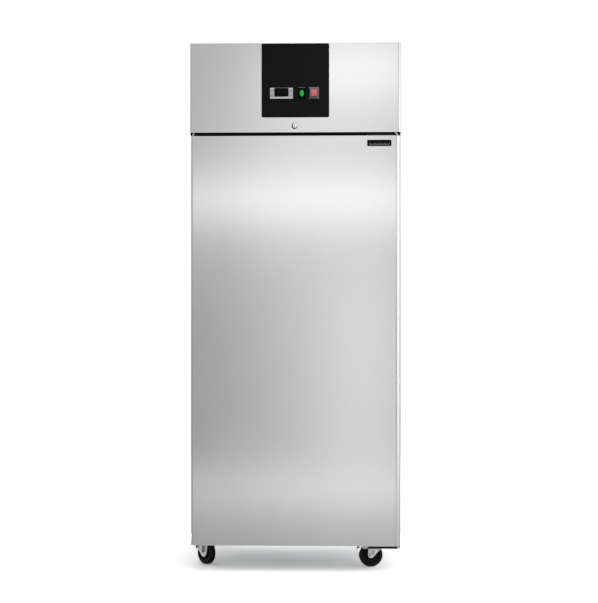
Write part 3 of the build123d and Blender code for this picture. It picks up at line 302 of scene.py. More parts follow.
def addPiece(name, bm, finish, body="cabinet", stands=(), bevel=0.0, steps=2, sharp=40):
    bmesh.ops.recalc_face_normals(bm, faces=bm.faces)
    mesh = bpy.data.meshes.new(name)
    bm.to_mesh(mesh)
    bm.free()
    mesh.materials.append(materials[finish])
    mesh.polygons.foreach_set("use_smooth", [True] * len(mesh.polygons))
    mesh.set_sharp_from_angle(angle=radians(sharp))
    piece = addObject(name, mesh)
    if bevel:
        edges = piece.modifiers.new("edges", "BEVEL")
        edges.width = bevel
        edges.segments = steps
        edges.limit_method = "ANGLE"
        edges.angle_limit = radians(sharp)
        edges.harden_normals = True
    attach(piece, body)
    if stands:
        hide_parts(*stands)
    return piece


def at(x, y, z):
    return Matrix.Translation((x, y, z))


def spin(angle, axis="X"):
    return Matrix.Rotation(angle, 4, axis)


# local x to the right, local y up, local z towards the viewer in front
def facing(x, y, z):
    return Matrix(((1, 0, 0, x), (0, 0, -1, y), (0, 1, 0, z), (0, 0, 0, 1)))


# local z towards the back
def backing(x, y, z):
    return Matrix(((-1, 0, 0, x), (0, 0, 1, y), (0, 1, 0, z), (0, 0, 0, 1)))


# local x towards the back, local y up, local z to the right
def sideways(y=0, z=0):
    return Matrix(((0, 0, 1, 0), (1, 0, 0, y), (0, 1, 0, z), (0, 0, 0, 1)))


corners = [(x, y) for x in (-1, 1) for y in (-1, 1)]


def arc(first, last, steps, wide, high, x=0, y=0):
    turns = [radians(first + (last - first) * k / steps) for k in range(steps + 1)]
    return [(x + wide * cos(turn), y + high * sin(turn)) for turn in turns]


def circle(steps, radius, x=0, y=0):
    return arc(0, 360, steps, radius, radius, x, y)[:-1]


def roundedOutline(width, height, corner, steps=6):
    points = []
    for side, up, start in ((1, 1, 0), (-1, 1, 90), (-1, -1, 180), (1, -1, 270)):
        points += arc(start, start + 90, steps, corner, corner, side * (width / 2 - corner),
                      up * (height / 2 - corner))
    return points


def addRing(bm, points):
    return [bm.verts.new(point) for point in points]


# Faces between rings of points. A ring of one point is a tip.
def joinRings(bm, rings, closed=False):
    for near, far in zip(rings, rings[1:] + (rings[:1] if closed else [])):
        count = max(len(near), len(far))
        for k in range(count):
            n = (k + 1) % count
            start = near[:1] if len(near) == 1 else [near[k], near[n]]
            end = far[:1] if len(far) == 1 else [far[n], far[k]]
            bm.faces.new(start + end)


def addBlock(bm, low, high, place=Matrix.Identity(4)):
    middle = (Vector(low) + Vector(high)) / 2
    size = Vector(high) - Vector(low)
    made = bmesh.ops.create_cube(bm, size=1.0)["verts"]
    bmesh.ops.transform(bm, matrix=place @ at(*middle) @ Matrix.Diagonal((*size, 1.0)), verts=made)


def disc(radius, high, low=0):
    return [(0, low), (radius, low), (radius, high), (0, high)]


# A shape turned round the z axis of place. The profile is (radius, along) pairs.
def addTurned(bm, profile, place, steps=48, ring=False):
    joinRings(bm, [addRing(bm, [place @ Vector((x, y, along)) for x, y in circle(steps, radius)])
                   if radius else addRing(bm, [place @ Vector((0, 0, along))])
                   for radius, along in profile], ring)


def roundCorners(points, bend, steps=6):
    spots = [Vector(point) for point in points]
    path = [spots[0]]
    for before, corner, after in zip(spots, spots[1:], spots[2:]):
        start = corner + (before - corner).normalized() * bend
        end = corner + (after - corner).normalized() * bend
        for k in range(steps + 1):
            t = k / steps
            path.append(start * (1 - t) ** 2 + corner * 2 * t * (1 - t) + end * t * t)
    return path + [spots[-1]]


# A round bar along the points, with closed ends unless it is a ring.
def addBar(bm, points, radius, sides=12, ring=False):
    path = [Vector(point) for point in points]
    count = len(path)
    rings, across = [], None
    for k, spot in enumerate(path):
        before = path[(k - 1) % count] if ring or k else spot
        after = path[(k + 1) % count] if ring or k < count - 1 else spot
        along = (after - before).normalized()
        if across is None:
            across = along.orthogonal().normalized()
        else:
            across = (across - along * across.dot(along)).normalized()
        other = along.cross(across)
        rings.append(addRing(bm, [spot + across * x + other * y for x, y in circle(sides, radius)]))
    joinRings(bm, rings, ring)
    if not ring:
        bm.faces.new(reversed(rings[0]))
        bm.faces.new(rings[-1])


# A flat outline, pushed out along the z axis of place.
def addPrism(bm, outline, low, high, place=Matrix.Identity(4)):
    near, far = (addRing(bm, [place @ Vector((x, y, z)) for x, y in outline]) for z in (low, high))
    bm.faces.new(reversed(near))
    top = bm.faces.new(far)
    joinRings(bm, [near, far])
    return top


def addHexBolt(bm, place, radius, height, washer=1.25):
    rim = 0.16 * radius
    addTurned(bm, disc(radius * washer, rim), place, 24)
    addTurned(bm, [(0, rim), (radius, rim), (radius, height * 0.82), (radius * 0.88, height), (0, height)],
              place, 6)


def addPanScrew(bm, place, radius):
    height = 0.62 * radius
    addTurned(bm, [(0, -0.4 * radius), (radius, -0.4 * radius), (radius, 0.1 * height),
                   (0.92 * radius, 0.55 * height), (0.7 * radius, 0.88 * height), (0.3 * radius, height),
                   (0, height)], place, 20)


# Castors

castor = {"tyreRadius": 0.0445, "halfWidth": 0.0135, "steps": 72, "ribs": 6}
castorNames = ("front_left", "front_right", "rear_left", "rear_right")


def castorReach(name, joint):
    pin = joints["castor_" + name + "_swivel"]["pos_m"]
    return (Vector(joints[joint]["pos_m"]) - Vector(pin)).xy.length


# local x from the kingpin along the trail, local z up
def castorPlace(name):
    pin = joints["castor_" + name + "_swivel"]["pos_m"]
    axle = joints["wheel_" + name + "_roll"]["pos_m"]
    along = Vector((axle[0] - pin[0], axle[1] - pin[1], 0)).normalized()
    side = Vector((0, 0, 1)).cross(along)
    return Matrix(((along.x, side.x, 0, pin[0]), (along.y, side.y, 0, pin[1]), (0, 0, 1, 0), (0, 0, 0, 1)))


# local x along the trail, local y up, local z out to one side of the castor
def castorSide(name, side):
    return castorPlace(name) @ Matrix(((1, 0, 0, 0), (0, 0, side, 0), (0, 1, 0, 0), (0, 0, 0, 1)))


def mirrorProfile(half):
    return half + [(radius, -along) for radius, along in reversed(half) if abs(along) > 1e-7]


def makeWheel(name, tyreRadius, halfWidth, steps, ribs):
    r, w, body = tyreRadius, halfWidth, "wheel_" + name
    place = castorPlace(name) @ at(castorReach(name, body + "_roll"), 0, r) @ spin(pi / 2)
    tyre = bmesh.new()
    shoulder = [(r - inward, along - w) for inward, along in (
        (0.011, 0.0024), (0.01, 0.0006), (0.0085, 0), (0.0064, 0), (0.0056, 0.0008), (0.002, 0.0024),
        (0.0007, 0.0036), (0.0001, 0.0056), (0, w))]
    addTurned(tyre, mirrorProfile(shoulder), place, steps, ring=True)
    addPiece("tyre_" + name, tyre, "wheel", body, (body,), sharp=60)
    web = bmesh.new()
    half = [(radius, along - w) for radius, along in (
        (0.0051, 0), (0.0098, 0), (0.0108, 0.0008), (0.0118, 0.004), (0.014, 0.0058), (0.027, 0.0066),
        (0.03, 0.0052), (0.0318, 0.002), (0.0338, 0.0014))]
    addTurned(web, mirrorProfile(half), place, steps, ring=True)
    for k in range(ribs):  # stiffening ribs from the hub to the rim
        addBlock(web, (0.011, -0.0011, 0.003 - w), (0.031, 0.0011, w - 0.003),
                 place @ spin(2 * pi * k / ribs, "Z"))
    addPiece("web_" + name, web, "wheelWeb", body, sharp=35)
    lines = bmesh.new()  # painted highlights: lighter rings where the tyre's side and its tread begin
    for inner, outer, near, far in ((r - 0.0076, r - 0.0068, w - 0.0004, w + 0.00012),
                                    (r - 0.0006, r + 0.00002, w - 0.0056, w - 0.0046)):
        for side in (-1, 1):
            addTurned(lines, [(inner, side * near), (inner, side * far), (outer, side * far),
                              (outer, side * near)], place, steps, ring=True)
    addPiece("tyre_lines_" + name, lines, "tyreLine", body, sharp=35)


# Outlines are (along, up) from the floor under the kingpin. A side plate without its own outline
# narrows straight to its round foot; its inner field is pressed in, and on the front castors a darker
# plate paints the shade in the front left's channel and the front right's groove.
fork = {"inner": 0.015, "outer": 0.0178, "crownLow": 0.1015, "crownHigh": 0.104, "back": -0.032,
        "front": 0.05, "footRadius": 0.011, "rim": 0.0026, "press": 0.0009}
forkLeg = {"front_left": [(-0.032, 0.104), (0.008, 0.078), (0.013, 0.068), (0.016, 0.052), (0.018, 0.042),
                          (0.023, 0.0345), (0.031, 0.0295), (0.0395, 0.0282), (0.0455, 0.0305), (0.05, 0.0345),
                          (0.0555, 0.041), (0.064, 0.048), (0.0745, 0.0535), (0.0835, 0.057), (0.0862, 0.061),
                          (0.0856, 0.068), (0.079, 0.076), (0.06, 0.09), (0.05, 0.104)]}
# outlines of the darker plates that paint the shade in the fork channel and groove
forkChannelShade = {"front_left": [(0.0275, 0.049), (0.03, 0.0475), (0.045, 0.0475), (0.0475, 0.049),
                              (0.0475, 0.096), (0.0275, 0.096)],
               "front_right": [(0.027, 0.043), (0.0345, 0.046), (0.0345, 0.062), (0.027, 0.062)]}
# painted highlight: a bright flat disc on the front left fork, ringed on its upper left by a black arc of
# painted shade
forkEarHighlight = {"along": 0.0715, "up": 0.06, "length": 0.0065, "height": 0.0046, "ringLength": 0.0145,
           "ringHeight": 0.0084, "end": 0.0862, "gap": 0.0002}
# painted shade: a black disc for the dark of the axle hole
forkHoleShade = {"along": -0.0005, "up": 0.0035, "radius": 0.004, "thick": 0.0006}
forkNut = {"along": -0.0014, "up": 0.0006, "shadeAlong": 0.0022, "shadeUp": 0.0004, "radius": 0.006,
           "dome": [(0, 0), (0.006, 0), (0.0058, 0.0016), (0.0049, 0.0032), (0.0032, 0.0043),
                    (0.0014, 0.0048), (0, 0.0049)]}


def hull(points):
    points = sorted(set(points))

    def half(run):
        line = []
        for p in run:
            while len(line) > 1 and ((line[-1][0] - line[-2][0]) * (p[1] - line[-2][1])
                                     - (line[-1][1] - line[-2][1]) * (p[0] - line[-2][0])) <= 0:
                line.pop()
            line.append(p)
        return line
    return half(points)[:-1] + half(points[::-1])[:-1]


# painted highlight: a bright flat disc on the fork plate, with a black arc of painted shade round its upper
# left
def addEarHighlight(ring, ear, face, side, along, up, length, height, ringLength, ringHeight, end, gap):
    outline = [(min(x, end), y) for x, y in arc(-35, 125, 20, ringLength, ringHeight, along, up)]
    outline += reversed(arc(-35, 125, 20, length, height, along, up))
    addPrism(ring, outline, face - 0.0004, face + 0.0002, side)
    addPrism(ear, arc(0, 360, 28, length - gap, height - gap, along, up)[:-1], face - 0.0009, face + 0.0004,
             side)


def makeFork(name, inner, outer, crownLow, crownHigh, back, front, footRadius, rim, press):
    place, body, up = castorPlace(name), "fork_" + name, castor["tyreRadius"]
    trail = castorReach(name, "wheel_" + name + "_roll")
    bm, shades, grooveShades, nuts, arcs, axle = (bmesh.new() for k in range(6))
    shade = outer - press
    leg = forkLeg.get(name) or hull(circle(40, footRadius, trail, up)
                                    + [(back, crownHigh), (front, crownHigh)])
    for side in (-1, 1):
        stand = castorSide(name, side)
        face = addPrism(bm, leg, inner, outer, stand)
        bmesh.ops.recalc_face_normals(bm, faces=bm.faces)
        bmesh.ops.inset_region(bm, faces=[face], thickness=rim, depth=-press)
        # painted shade: a darker plate over the front left's channel and the front right's groove
        if name in forkChannelShade:
            addPrism(shades if name == "front_left" else grooveShades, forkChannelShade[name], shade, shade + 0.0003,
                     stand)

        def onPlate(along, high):
            return place @ at(trail + along, side * shade, up + high) @ spin(-side * pi / 2)
        # painted shade: a black disc at the axle hole, and the ear's painted highlight with its black arc of
        # painted shade
        if name == "front_left":
            addTurned(arcs, disc(forkHoleShade["radius"], forkHoleShade["thick"]),
                      onPlate(forkHoleShade["along"], forkHoleShade["up"]), 24)
            addEarHighlight(arcs, nuts, outer, stand, **forkEarHighlight)
        else:
            # painted shadow: a dark disc set beside each nut
            addTurned(shades, disc(forkNut["radius"], 0.0004),
                      onPlate(forkNut["shadeAlong"], forkNut["shadeUp"]), 28)
            addTurned(nuts, forkNut["dome"], onPlate(forkNut["along"], forkNut["up"]), 28)
    addBlock(bm, (back, -inner - 0.0005, crownLow), (front, inner + 0.0005, crownHigh), place)
    if name.startswith("front"):
        pivot = "brake_" + name + "_pedal"
        pin = place @ at(castorReach(name, pivot), -inner, joints[pivot]["pos_m"][2]) @ spin(-pi / 2)
        addTurned(bm, disc(0.0025, 2 * inner), pin, 20)
    addPiece("bracket_" + name, bm, "forkSteel", body, (body,), bevel=0.0005)
    addPiece("fork_shades_" + name, shades, "shadeAndHighlightGrey", body)
    # on the front left the nuts' piece holds the ear's painted highlight disc
    addPiece("fork_nuts_" + name, nuts, "brightNut", body, sharp=50)
    if name == "front_left":
        addPiece("fork_ear_shade_" + name, arcs, "plateBlack", body)
    if name == "front_right":
        addPiece("fork_groove_shades_" + name, grooveShades, "forkGrooveShade", body)
    addTurned(axle, disc(0.005, 2 * inner), place @ at(trail, -inner, up) @ spin(-pi / 2), 32)
    addPiece("axle_" + name, axle, "boltSteel", body)


# side cheeks of the brake lever beside the wheel, and the black rubber tip on the lever
cheek = {"inner": 0.01375, "outer": 0.01465, "tipHalf": 0.0108,
         "outline": [(0.055, 0.0676), (0.069, 0.0676), (0.0725, 0.071), (0.074, 0.077), (0.056, 0.0845),
                     (0.05, 0.0845), (0.05, 0.074)],
         "tip": [(0.083, 0.079), (0.085, 0.0715), (0.0905, 0.0672), (0.0938, 0.066), (0.0938, 0.07),
                 (0.0915, 0.0735), (0.09, 0.079)]}


def makeBrakeCheeks(name, inner, outer, outline, tip, tipHalf):
    cheeks, rubber = bmesh.new(), bmesh.new()
    for side in (-1, 1):
        addPrism(cheeks, outline, inner, outer, castorSide(name, side))
    addPiece("brake_cheeks_" + name, cheeks, "zinc", "pedal_" + name, bevel=0.0003)
    addPrism(rubber, tip, -tipHalf, tipHalf, castorSide(name, 1))
    addPiece("brake_tip_" + name, rubber, "plateBlack", "pedal_" + name, bevel=0.0004)


mounting = {"width": 0.067, "length": 0.095, "corner": 0.008, "low": 0.115, "high": 0.118, "race": 0.024,
            "raceLow": 0.1043, "boltX": 0.0245, "boltY": 0.0385, "bolt": 0.0068, "boltHigh": 0.0046}


def makeMountings(width, length, corner, low, high, race, raceLow, boltX, boltY, bolt, boltHigh):
    bm, bolts = bmesh.new(), bmesh.new()
    for name in castorNames:
        x, y = joints["castor_" + name + "_swivel"]["pos_m"][:2]
        spot = at(x, y, 0)
        addPrism(bm, roundedOutline(width, length, corner), low, high, spot)
        addTurned(bm, [(0, low), (race, low)] + [(race - inward, raceLow + up) for inward, up in (
            (0, 0.0068), (0.0008, 0.006), (0.0008, 0.0044), (0, 0.0036), (0.0004, 0.0016), (0.0022, 0))]
                  + [(0, raceLow)], spot)
        addTurned(bm, [(0, raceLow), (0.006, raceLow), (0.006, 0.1012), (0.0082, 0.101), (0.0078, 0.1),
                       (0.005, 0.0995), (0, 0.0995)], spot, 32)
        for dx, dy in corners:
            addHexBolt(bolts, at(x + dx * boltX, y + dy * boltY, low) @ spin(pi), bolt, boltHigh)
    addPiece("mounting_plates", bm, "forkSteel", stands=("castor_plates",), bevel=0.0004)
    addPiece("mounting_bolts", bolts, "boltSteel")


for castorName in castorNames:
    makeWheel(castorName, **castor)
    makeFork(castorName, **fork)
    if castorName.startswith("front"):
        makeBrakeCheeks(castorName, **cheek)
makeMountings(**mounting)
print("castors done")

# Control plate: lens, display glass, lock, switch frame. Below them the door's small plate, the black
# painted shade in the gap under the fascia and the lower hinge plate

lens = {"x": 0.024, "z": 1.769, "front": -0.3915, "width": 0.0155, "height": 0.024, "rise": 0.0046,
        "steps": 10, "sides": 48, "bulge": 0.88}


def makeLens(x, z, front, width, height, rise, steps, sides, bulge):
    bm = bmesh.new()
    place = facing(x, front, z)
    rings = []
    for turn in [radians(90 * k / steps) for k in range(steps)]:
        size = cos(turn) ** 0.9 / 2
        rings.append(addRing(bm, [place @ Vector((
            abs(a) ** bulge * (1 if a >= 0 else -1) * size * width,
            abs(b) ** bulge * (1 if b >= 0 else -1) * size * height, sin(turn) * rise))
            for a, b in circle(sides, 1)]))
    joinRings(bm, rings + [addRing(bm, [place @ Vector((0, 0, rise))])])
    bm.faces.new(reversed(rings[0]))
    addPiece("green_lens_dome", bm, "green_lens", stands=("lamp_lens",), sharp=60)


glass = {"x": -0.051, "z": 1.7722, "width": 0.053, "height": 0.0322, "corner": 0.0035, "front": -0.3954,
         "back": -0.3935, "dome": 0.0012}


def makeDisplayGlass(x, z, width, height, corner, front, back, dome):
    bm = bmesh.new()
    place, rise = facing(x, back, z), back - front
    levels = ((1, 0), (1, rise), (0.96, rise + 0.45 * dome), (0.8, rise + 0.8 * dome), (0.45, rise + dome))
    rings = [addRing(bm, [place @ Vector((across * size, high * size, up))
                          for across, high in roundedOutline(width, height, corner)]) for size, up in levels]
    joinRings(bm, rings)
    bm.faces.new(reversed(rings[0]))
    bm.faces.new(rings[-1])
    addPiece("display_glass", bm, "display", stands=("controller_display",), sharp=60)


lockFace = {"x": -0.003, "z": 1.648, "front": -0.394, "radius": 0.0082, "bore": 0.00556, "aside": 0.0014,
            "rise": 0.0009, "keyWide": 0.0026, "keyHigh": 0.007}


# a bright chrome disc set a little up and to the right on the lock body, which is dark so that a
# crescent of painted shade shows at its lower left, and a black block as painted shade in the keyway
def makeLockFace(x, z, front, radius, bore, aside, rise, keyWide, keyHigh):
    bm = bmesh.new()
    levels = ((radius, aside, 0), (radius, aside, 0.0004), (radius - 0.0005, aside, rise), (bore, 0, rise),
              (bore, 0, 0))
    rings = [addRing(bm, [(across, front - up, high) for across, high in circle(48, size, x + off, z + off)])
             for size, off, up in levels]
    joinRings(bm, rings, closed=True)
    addPiece("lock_rosette", bm, "chrome_trim", sharp=50)
    slit = bmesh.new()
    addBlock(slit, (x - keyWide / 2, front - 0.0001, z - keyHigh / 2),
             (x + keyWide / 2, front + 0.003, z + keyHigh / 2))
    addPiece("keyway_shade", slit, "plateBlack", "lock")


switchFrame = {"x": 0.069, "z": 1.769, "width": 0.037, "height": 0.043, "front": -0.396, "slope": 0.0036,
               "line": 0.00042, "margin": 0.0006, "skin": 0.00015}
# painted highlight along the green lamp frame's upper edge
lampEdgeHighlight = {"x": 0.024, "z": 1.7891, "half": 0.0115, "front": -0.3942, "line": 0.0006}


# painted highlights: thin light-grey lines where the sloped faces of the switch's frame meet, and a lighter
# skin over its upper face
def makeSwitchHighlights(x, z, width, height, front, slope, line, margin, skin):
    bm, top = bmesh.new(), bmesh.new()
    for sx, sz in corners:
        outer = Vector((x + sx * width / 2 - sx * 0.0003, front + slope, z + sz * height / 2 - sz * 0.0003))
        addBar(bm, [outer, outer + Vector((-sx, -1, -sz)) * slope], line, 8)
    addPiece("switch_frame_mitre_highlights", bm, "controller")
    half, high = width / 2 - margin, z + height / 2
    outline = ((-half, slope, 0), (half, slope, 0), (half - slope, 0, -slope), (slope - half, 0, -slope))
    near, far = (addRing(top, [(x + across, front + y - out, high + up + out) for across, y, up in outline])
                 for out in (skin, -skin))
    joinRings(top, [near, far])
    top.faces.new(near)
    top.faces.new(reversed(far))
    addPiece("switch_frame_top_highlight", top, "switchTopHighlight")


# painted highlight: a grey bar along the upper edge of the green lamp's black frame
def makeLampEdgeHighlight(x, z, half, front, line):
    bm = bmesh.new()
    addBar(bm, [(x - half, front, z), (x + half, front, z)], line, 8)
    addPiece("lamp_frame_edge_highlight", bm, "shadeAndHighlightGrey")


doorPlate = {"left": 0.265, "right": 0.3546, "low": 1.573, "high": 1.5962, "front": -0.39, "thick": 0.0008,
             "corner": 0.0035, "margin": 0.008, "ticks": 17, "lineLow": -0.0065, "tickLow": -0.0045}


def makeDoorPlate(left, right, low, high, front, thick, corner, margin, ticks, lineLow, tickLow):
    width, reach = right - left, (right - left) / 2 - margin
    place = facing((right + left) / 2, front, (high + low) / 2)
    bm, marks = bmesh.new(), bmesh.new()
    addPrism(bm, roundedOutline(width, high - low, corner), 0, thick, place)
    addPiece("door_plate", bm, "plateBlack", "door", bevel=0.0002)
    under, over = thick - 0.0001, thick + 0.00012
    for k in range(ticks):  # a plain scale, tall marks at every fourth
        x, tall = 2 * reach * k / (ticks - 1) - reach, 0.0034 if k % 4 else 0.0062
        addBlock(marks, (x - 0.0006, tickLow, under), (x + 0.0006, tickLow + tall, over), place)
    addBlock(marks, (-reach, lineLow, under), (reach, lineLow + 0.0012, over), place)
    addPiece("door_plate_marks", marks, "printGrey", "door")


# painted shade: a black lip and black corner notches in the gap under the fascia, with the fascia's folded
# steel ends
headGapShade = {"left": -0.374, "hinge": 0.262, "right": 0.368, "front": -0.387, "back": -0.379, "top": 1.6249,
            "low": 1.6134, "overHinge": 1.6188, "lean": 0.0085, "strip": 0.003, "endFront": -0.3845,
            "endBack": -0.3805, "reach": 0.0195, "edge": 0.3895, "tip": 1.6127}


def makeHeadGapShade(left, hinge, right, front, back, top, low, overHinge, lean, strip, endFront, endBack, reach,
                 edge, tip):
    lip, notches, steel = bmesh.new(), bmesh.new(), bmesh.new()
    for start, end, under in ((left, hinge, low), (hinge, right, overHinge)):
        addPrism(lip, [(back, top), (back, under + 0.0022), (back - 0.0012, under + 0.0006),
                       (back - 0.003, under), (front + 0.0026, under), (front + 0.0008, under + 0.0008),
                       (front, under + 0.0028), (front, top)], start, end, sideways())
    for side, start in ((-1, left), (1, right)):
        place, depth = facing(0, endBack, 0), endBack - endFront
        near, far = start + side * strip, start + side * (strip + lean)
        addPrism(steel, [(start, top), (near, top), (far, tip), (start + side * lean, tip)], 0, depth, place)
        addPrism(notches, [(near, top), (side * min(abs(start) + reach, edge), top),
                           (near + side * 1.35 * lean, tip), (far, tip)], 0, 0.6 * depth, place)
    addPiece("head_seal", lip, "gasket", sharp=50)
    addPiece("head_gap_shade_notches", notches, "gasket")
    addPiece("head_gap_steel_ends", steel, "boltSteel")


# the lower hinge plate's rounded corner as a thin wall of bright steel, a painted highlight against the
# plate's painted-shade dark steel, and a black block under the plate as painted shadow
hingeEnd = {"x": 0.374, "y": -0.37, "radius": 0.0143, "wall": 0.0014, "low": 0.0868, "high": 0.0956}
hingeShadow = {"low": (0.2685, -0.3838, 0.0874), "high": (0.3745, -0.372, 0.0906)}


def makeHingeEnd(x, y, radius, wall, low, high):
    bm, under = bmesh.new(), bmesh.new()
    inner = radius - wall
    addPrism(bm, arc(-84, 0, 12, radius, radius, x, y) + arc(0, -84, 12, inner, inner, x, y), low, high)
    addPiece("hinge_plate_corner", bm, "boltSteel", bevel=0.0003)
    addBlock(under, **hingeShadow)
    addPiece("hinge_plate_shadow", under, "plateBlack")


makeLens(**lens)
makeDisplayGlass(**glass)
makeLockFace(**lockFace)
makeSwitchHighlights(**switchFrame)
makeLampEdgeHighlight(**lampEdgeHighlight)
makeDoorPlate(**doorPlate)
makeHeadGapShade(**headGapShade)
makeHingeEnd(**hingeEnd)
print("controls done")

# Shelves and door seal

wire = {"frame": 0.004, "deck": 0.002, "count": 29, "corner": 0.012, "sides": 8, "rail": 0.0028,
        "bend": 0.004}


def makeShelf(level, frame, deck, count, corner, sides, rail, bend):
    node = "shelf_" + level
    low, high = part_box(node)
    z = low.z + frame
    bm = bmesh.new()
    outline = roundedOutline(high.x - low.x - 2 * frame, high.y - low.y - 2 * frame, corner, 5)
    middle = (low.y + high.y) / 2
    addBar(bm, [(x, middle + y, z) for x, y in outline], frame, 12, ring=True)
    top, foot, last = z + frame + deck + 0.0004, z - 0.0005, high.x - 0.0025
    near, far = low.y + deck, high.y - deck
    for k in range(count):
        x = -last + 2 * last * k / (count - 1)
        addBar(bm, roundCorners([(x, near, foot), (x, near, top), (x, far, top), (x, far, foot)], bend, 3),
               deck, sides)
    for share in (0.3, 0.7):
        y = low.y + (high.y - low.y) * share
        addBar(bm, [(low.x + frame, y, z + 0.0014), (high.x - frame, y, z + 0.0014)], rail, 10)
    addPiece("wire_" + node, bm, "shelfCoat", stands=(node,), sharp=60)


# the profile runs (out from the inner edge, y), and its far half mirrors the near one
seal = {"inner": 0.346, "low": 0.162, "high": 1.578, "profile": [
    (0, -0.33), (0, -0.3272), (0.0034, -0.3264), (0.0042, -0.3253), (0.0032, -0.3242), (0.0008, -0.3234),
    (0.0004, -0.3208), (0.0012, -0.3203), (0.0188, -0.3203), (0.0196, -0.3208), (0.0192, -0.3234),
    (0.0168, -0.3242), (0.0158, -0.3253), (0.0166, -0.3264), (0.02, -0.3272), (0.02, -0.33)]}


def makeSeal(inner, low, high, profile):
    bm = bmesh.new()
    rings = [addRing(bm, [(side * (inner + out), y, high + out if up else low - out) for out, y in profile])
             for side, up in ((-1, False), (1, False), (1, True), (-1, True))]
    joinRings(bm, rings, closed=True)
    addPiece("seal_bellows", bm, "gasket", "door", ("door_gasket",), sharp=50)


for shelfLevel in ("lower", "middle", "upper"):
    makeShelf(shelfLevel, **wire)
makeSeal(**seal)
print("shelves and seal done")

# Fans and motors

fans = {
    "evaporator": {"x": 0.0, "z": 1.4855, "radius": 0.0655, "hub": 0.02, "front": 0.022, "depth": 0.02,
                   "reach": 0.0098, "motor": 0.024, "length": 0.04, "bar": 0.2488},
    "condenser": {"x": -0.115, "z": 1.7605, "radius": 0.0975, "hub": 0.03, "front": -0.134, "depth": 0.026,
                  "reach": 0.015, "motor": 0.042, "length": 0.062, "bar": 0.1735},
}
blade = {"count": 5, "spans": 9, "chords": 8, "thickness": 0.0015, "root": 0.0012, "sweep": 0.34}


def makeFan(name, x, z, radius, hub, front, depth, reach, motor, length, bar):
    node, half = name + "_fan", depth / 2
    place = backing(x, front + half, z)
    bm, blades = bmesh.new(), bmesh.new()
    addTurned(bm, [(0, -half), (hub * 0.72, -half), (hub * 0.94, -half + 0.0016), (hub, -half + 0.0042),
                   (hub, half), (hub - 0.0018, half), (hub - 0.0018, -half + 0.006), (0.0062, -half + 0.006),
                   (0.0062, half - 0.001), (0.0041, half - 0.001), (0.0041, -half + 0.0045),
                   (0, -half + 0.0045)], place, 40)
    addPiece(name + "_fan_hub", bm, "fan_black", node, (node,), sharp=35)
    root = hub - blade["root"]
    for step in range(blade["count"]):
        grid = []
        for u in [i / blade["spans"] for i in range(blade["spans"] + 1)]:  # from the hub to the tip
            width = radians(25 - 3 * u)
            if u > 0.85:
                width *= 1 - 0.55 * ((u - 0.85) / 0.15) ** 2
            row = []
            for v in [2 * j / blade["chords"] - 1 for j in range(blade["chords"] + 1)]:
                angle = 2 * pi * step / blade["count"] + blade["sweep"] * u * u + v * width
                lift = -v * reach * (0.62 + 0.38 * u) * (1 - 0.12 * v * v) + 0.0016 * (1 - v * v)
                out = root + (radius - root) * u
                row.append(place @ Vector((out * cos(angle), out * sin(angle), lift)))
            grid.append(addRing(blades, row))
        for near, far in zip(grid, grid[1:]):
            for j in range(blade["chords"]):
                blades.faces.new((near[j], far[j], far[j + 1], near[j + 1]))
    piece = addPiece(name + "_fan_blades", blades, "fan_black", node, sharp=60)
    skin = piece.modifiers.new("thickness", "SOLIDIFY")
    skin.thickness = blade["thickness"]
    skin.offset = 0.0


def makeMotors():
    steel, cans = bmesh.new(), bmesh.new()
    for fan in fans.values():
        x, z, r, length = fan["x"], fan["z"], fan["motor"], fan["length"]
        start = fan["front"] + fan["depth"] + 0.004
        place = backing(x, start, z)
        addTurned(cans, [(0, 0), (r * 0.45, 0), (r * 0.5, 0.001), (r * 0.86, 0.001), (r, 0.005),
                         (r, length * 0.46), (r + 0.0008, length * 0.47), (r + 0.0008, length * 0.53),
                         (r, length * 0.54), (r, length - 0.006), (r * 0.86, length - 0.001),
                         (r * 0.4, length - 0.001), (r * 0.36, length), (0, length)], place, 48)
        for k in range(10):  # cooling ribs round the can
            addBlock(cans, (r - 0.001, -0.0012, 0.008), (r + 0.001, 0.0012, length * 0.42),
                     place @ spin(2 * pi * k / 10, "Z"))
        addTurned(steel, disc(0.0039, 0.002, 0.0005 - fan["depth"]), place, 24)
        low = start + 0.004
        for side in (-1, 1):
            near, far = sorted((x + side * (r - 0.002), x + side * fan["bar"]))
            addBlock(steel, (near, low, z - 0.006), (far, low + 0.002, z + 0.006))
            addPanScrew(steel, facing(x + side * (r + 0.01), low, z), 0.0032)
    addPiece("motor_cans", cans, "motor", stands=("fan_motors",), bevel=0.0004, sharp=35)
    addPiece("motor_arms", steel, "galvanised", bevel=0.0003, sharp=35)


guard = {"z": 1.4855, "front": 0.0155, "dome": 0.004, "rings": (0.026, 0.04, 0.054, 0.0665, 0.0745),
         "wire": 0.0011, "spoke": 0.0015,
         "spokes": ((0.02548, -0.003), (0.056, -0.0008), (0.0745, 0.0012), (0.08, 0.0033)), "screw": 0.0815}


def makeGuard(z, front, dome, rings, wire, spoke, spokes, screw):
    bm = bmesh.new()
    for k, radius in enumerate(rings):
        y = front - dome * (1 - k / (len(rings) - 1))
        addBar(bm, [(across, y, high) for across, high in circle(48, radius, 0, z)], wire, 6, ring=True)
    for turn in [pi / 4 + k * pi / 2 for k in range(4)]:
        addBar(bm, [(out * cos(turn), front + y, z + out * sin(turn)) for out, y in spokes], spoke, 8)
        addPanScrew(bm, facing(screw * cos(turn), 0.0196, z + screw * sin(turn)), 0.0038)
    addPiece("evaporator_guard", bm, "zinc", sharp=60)


for fanName, fanSizes in fans.items():
    makeFan(fanName, **fanSizes)
makeMotors()
makeGuard(**guard)
print("fans done")

# Condensing unit

unit = {"compressorX": 0.15, "compressorY": 0.12, "low": 1.656, "high": 1.846, "base": 1.638,
        "footX": 0.084, "footY": 0.0425, "seam": 1.753, "plate": 0.003, "plateWidth": 0.2,
        "plateDepth": 0.117, "plateCorner": 0.012}


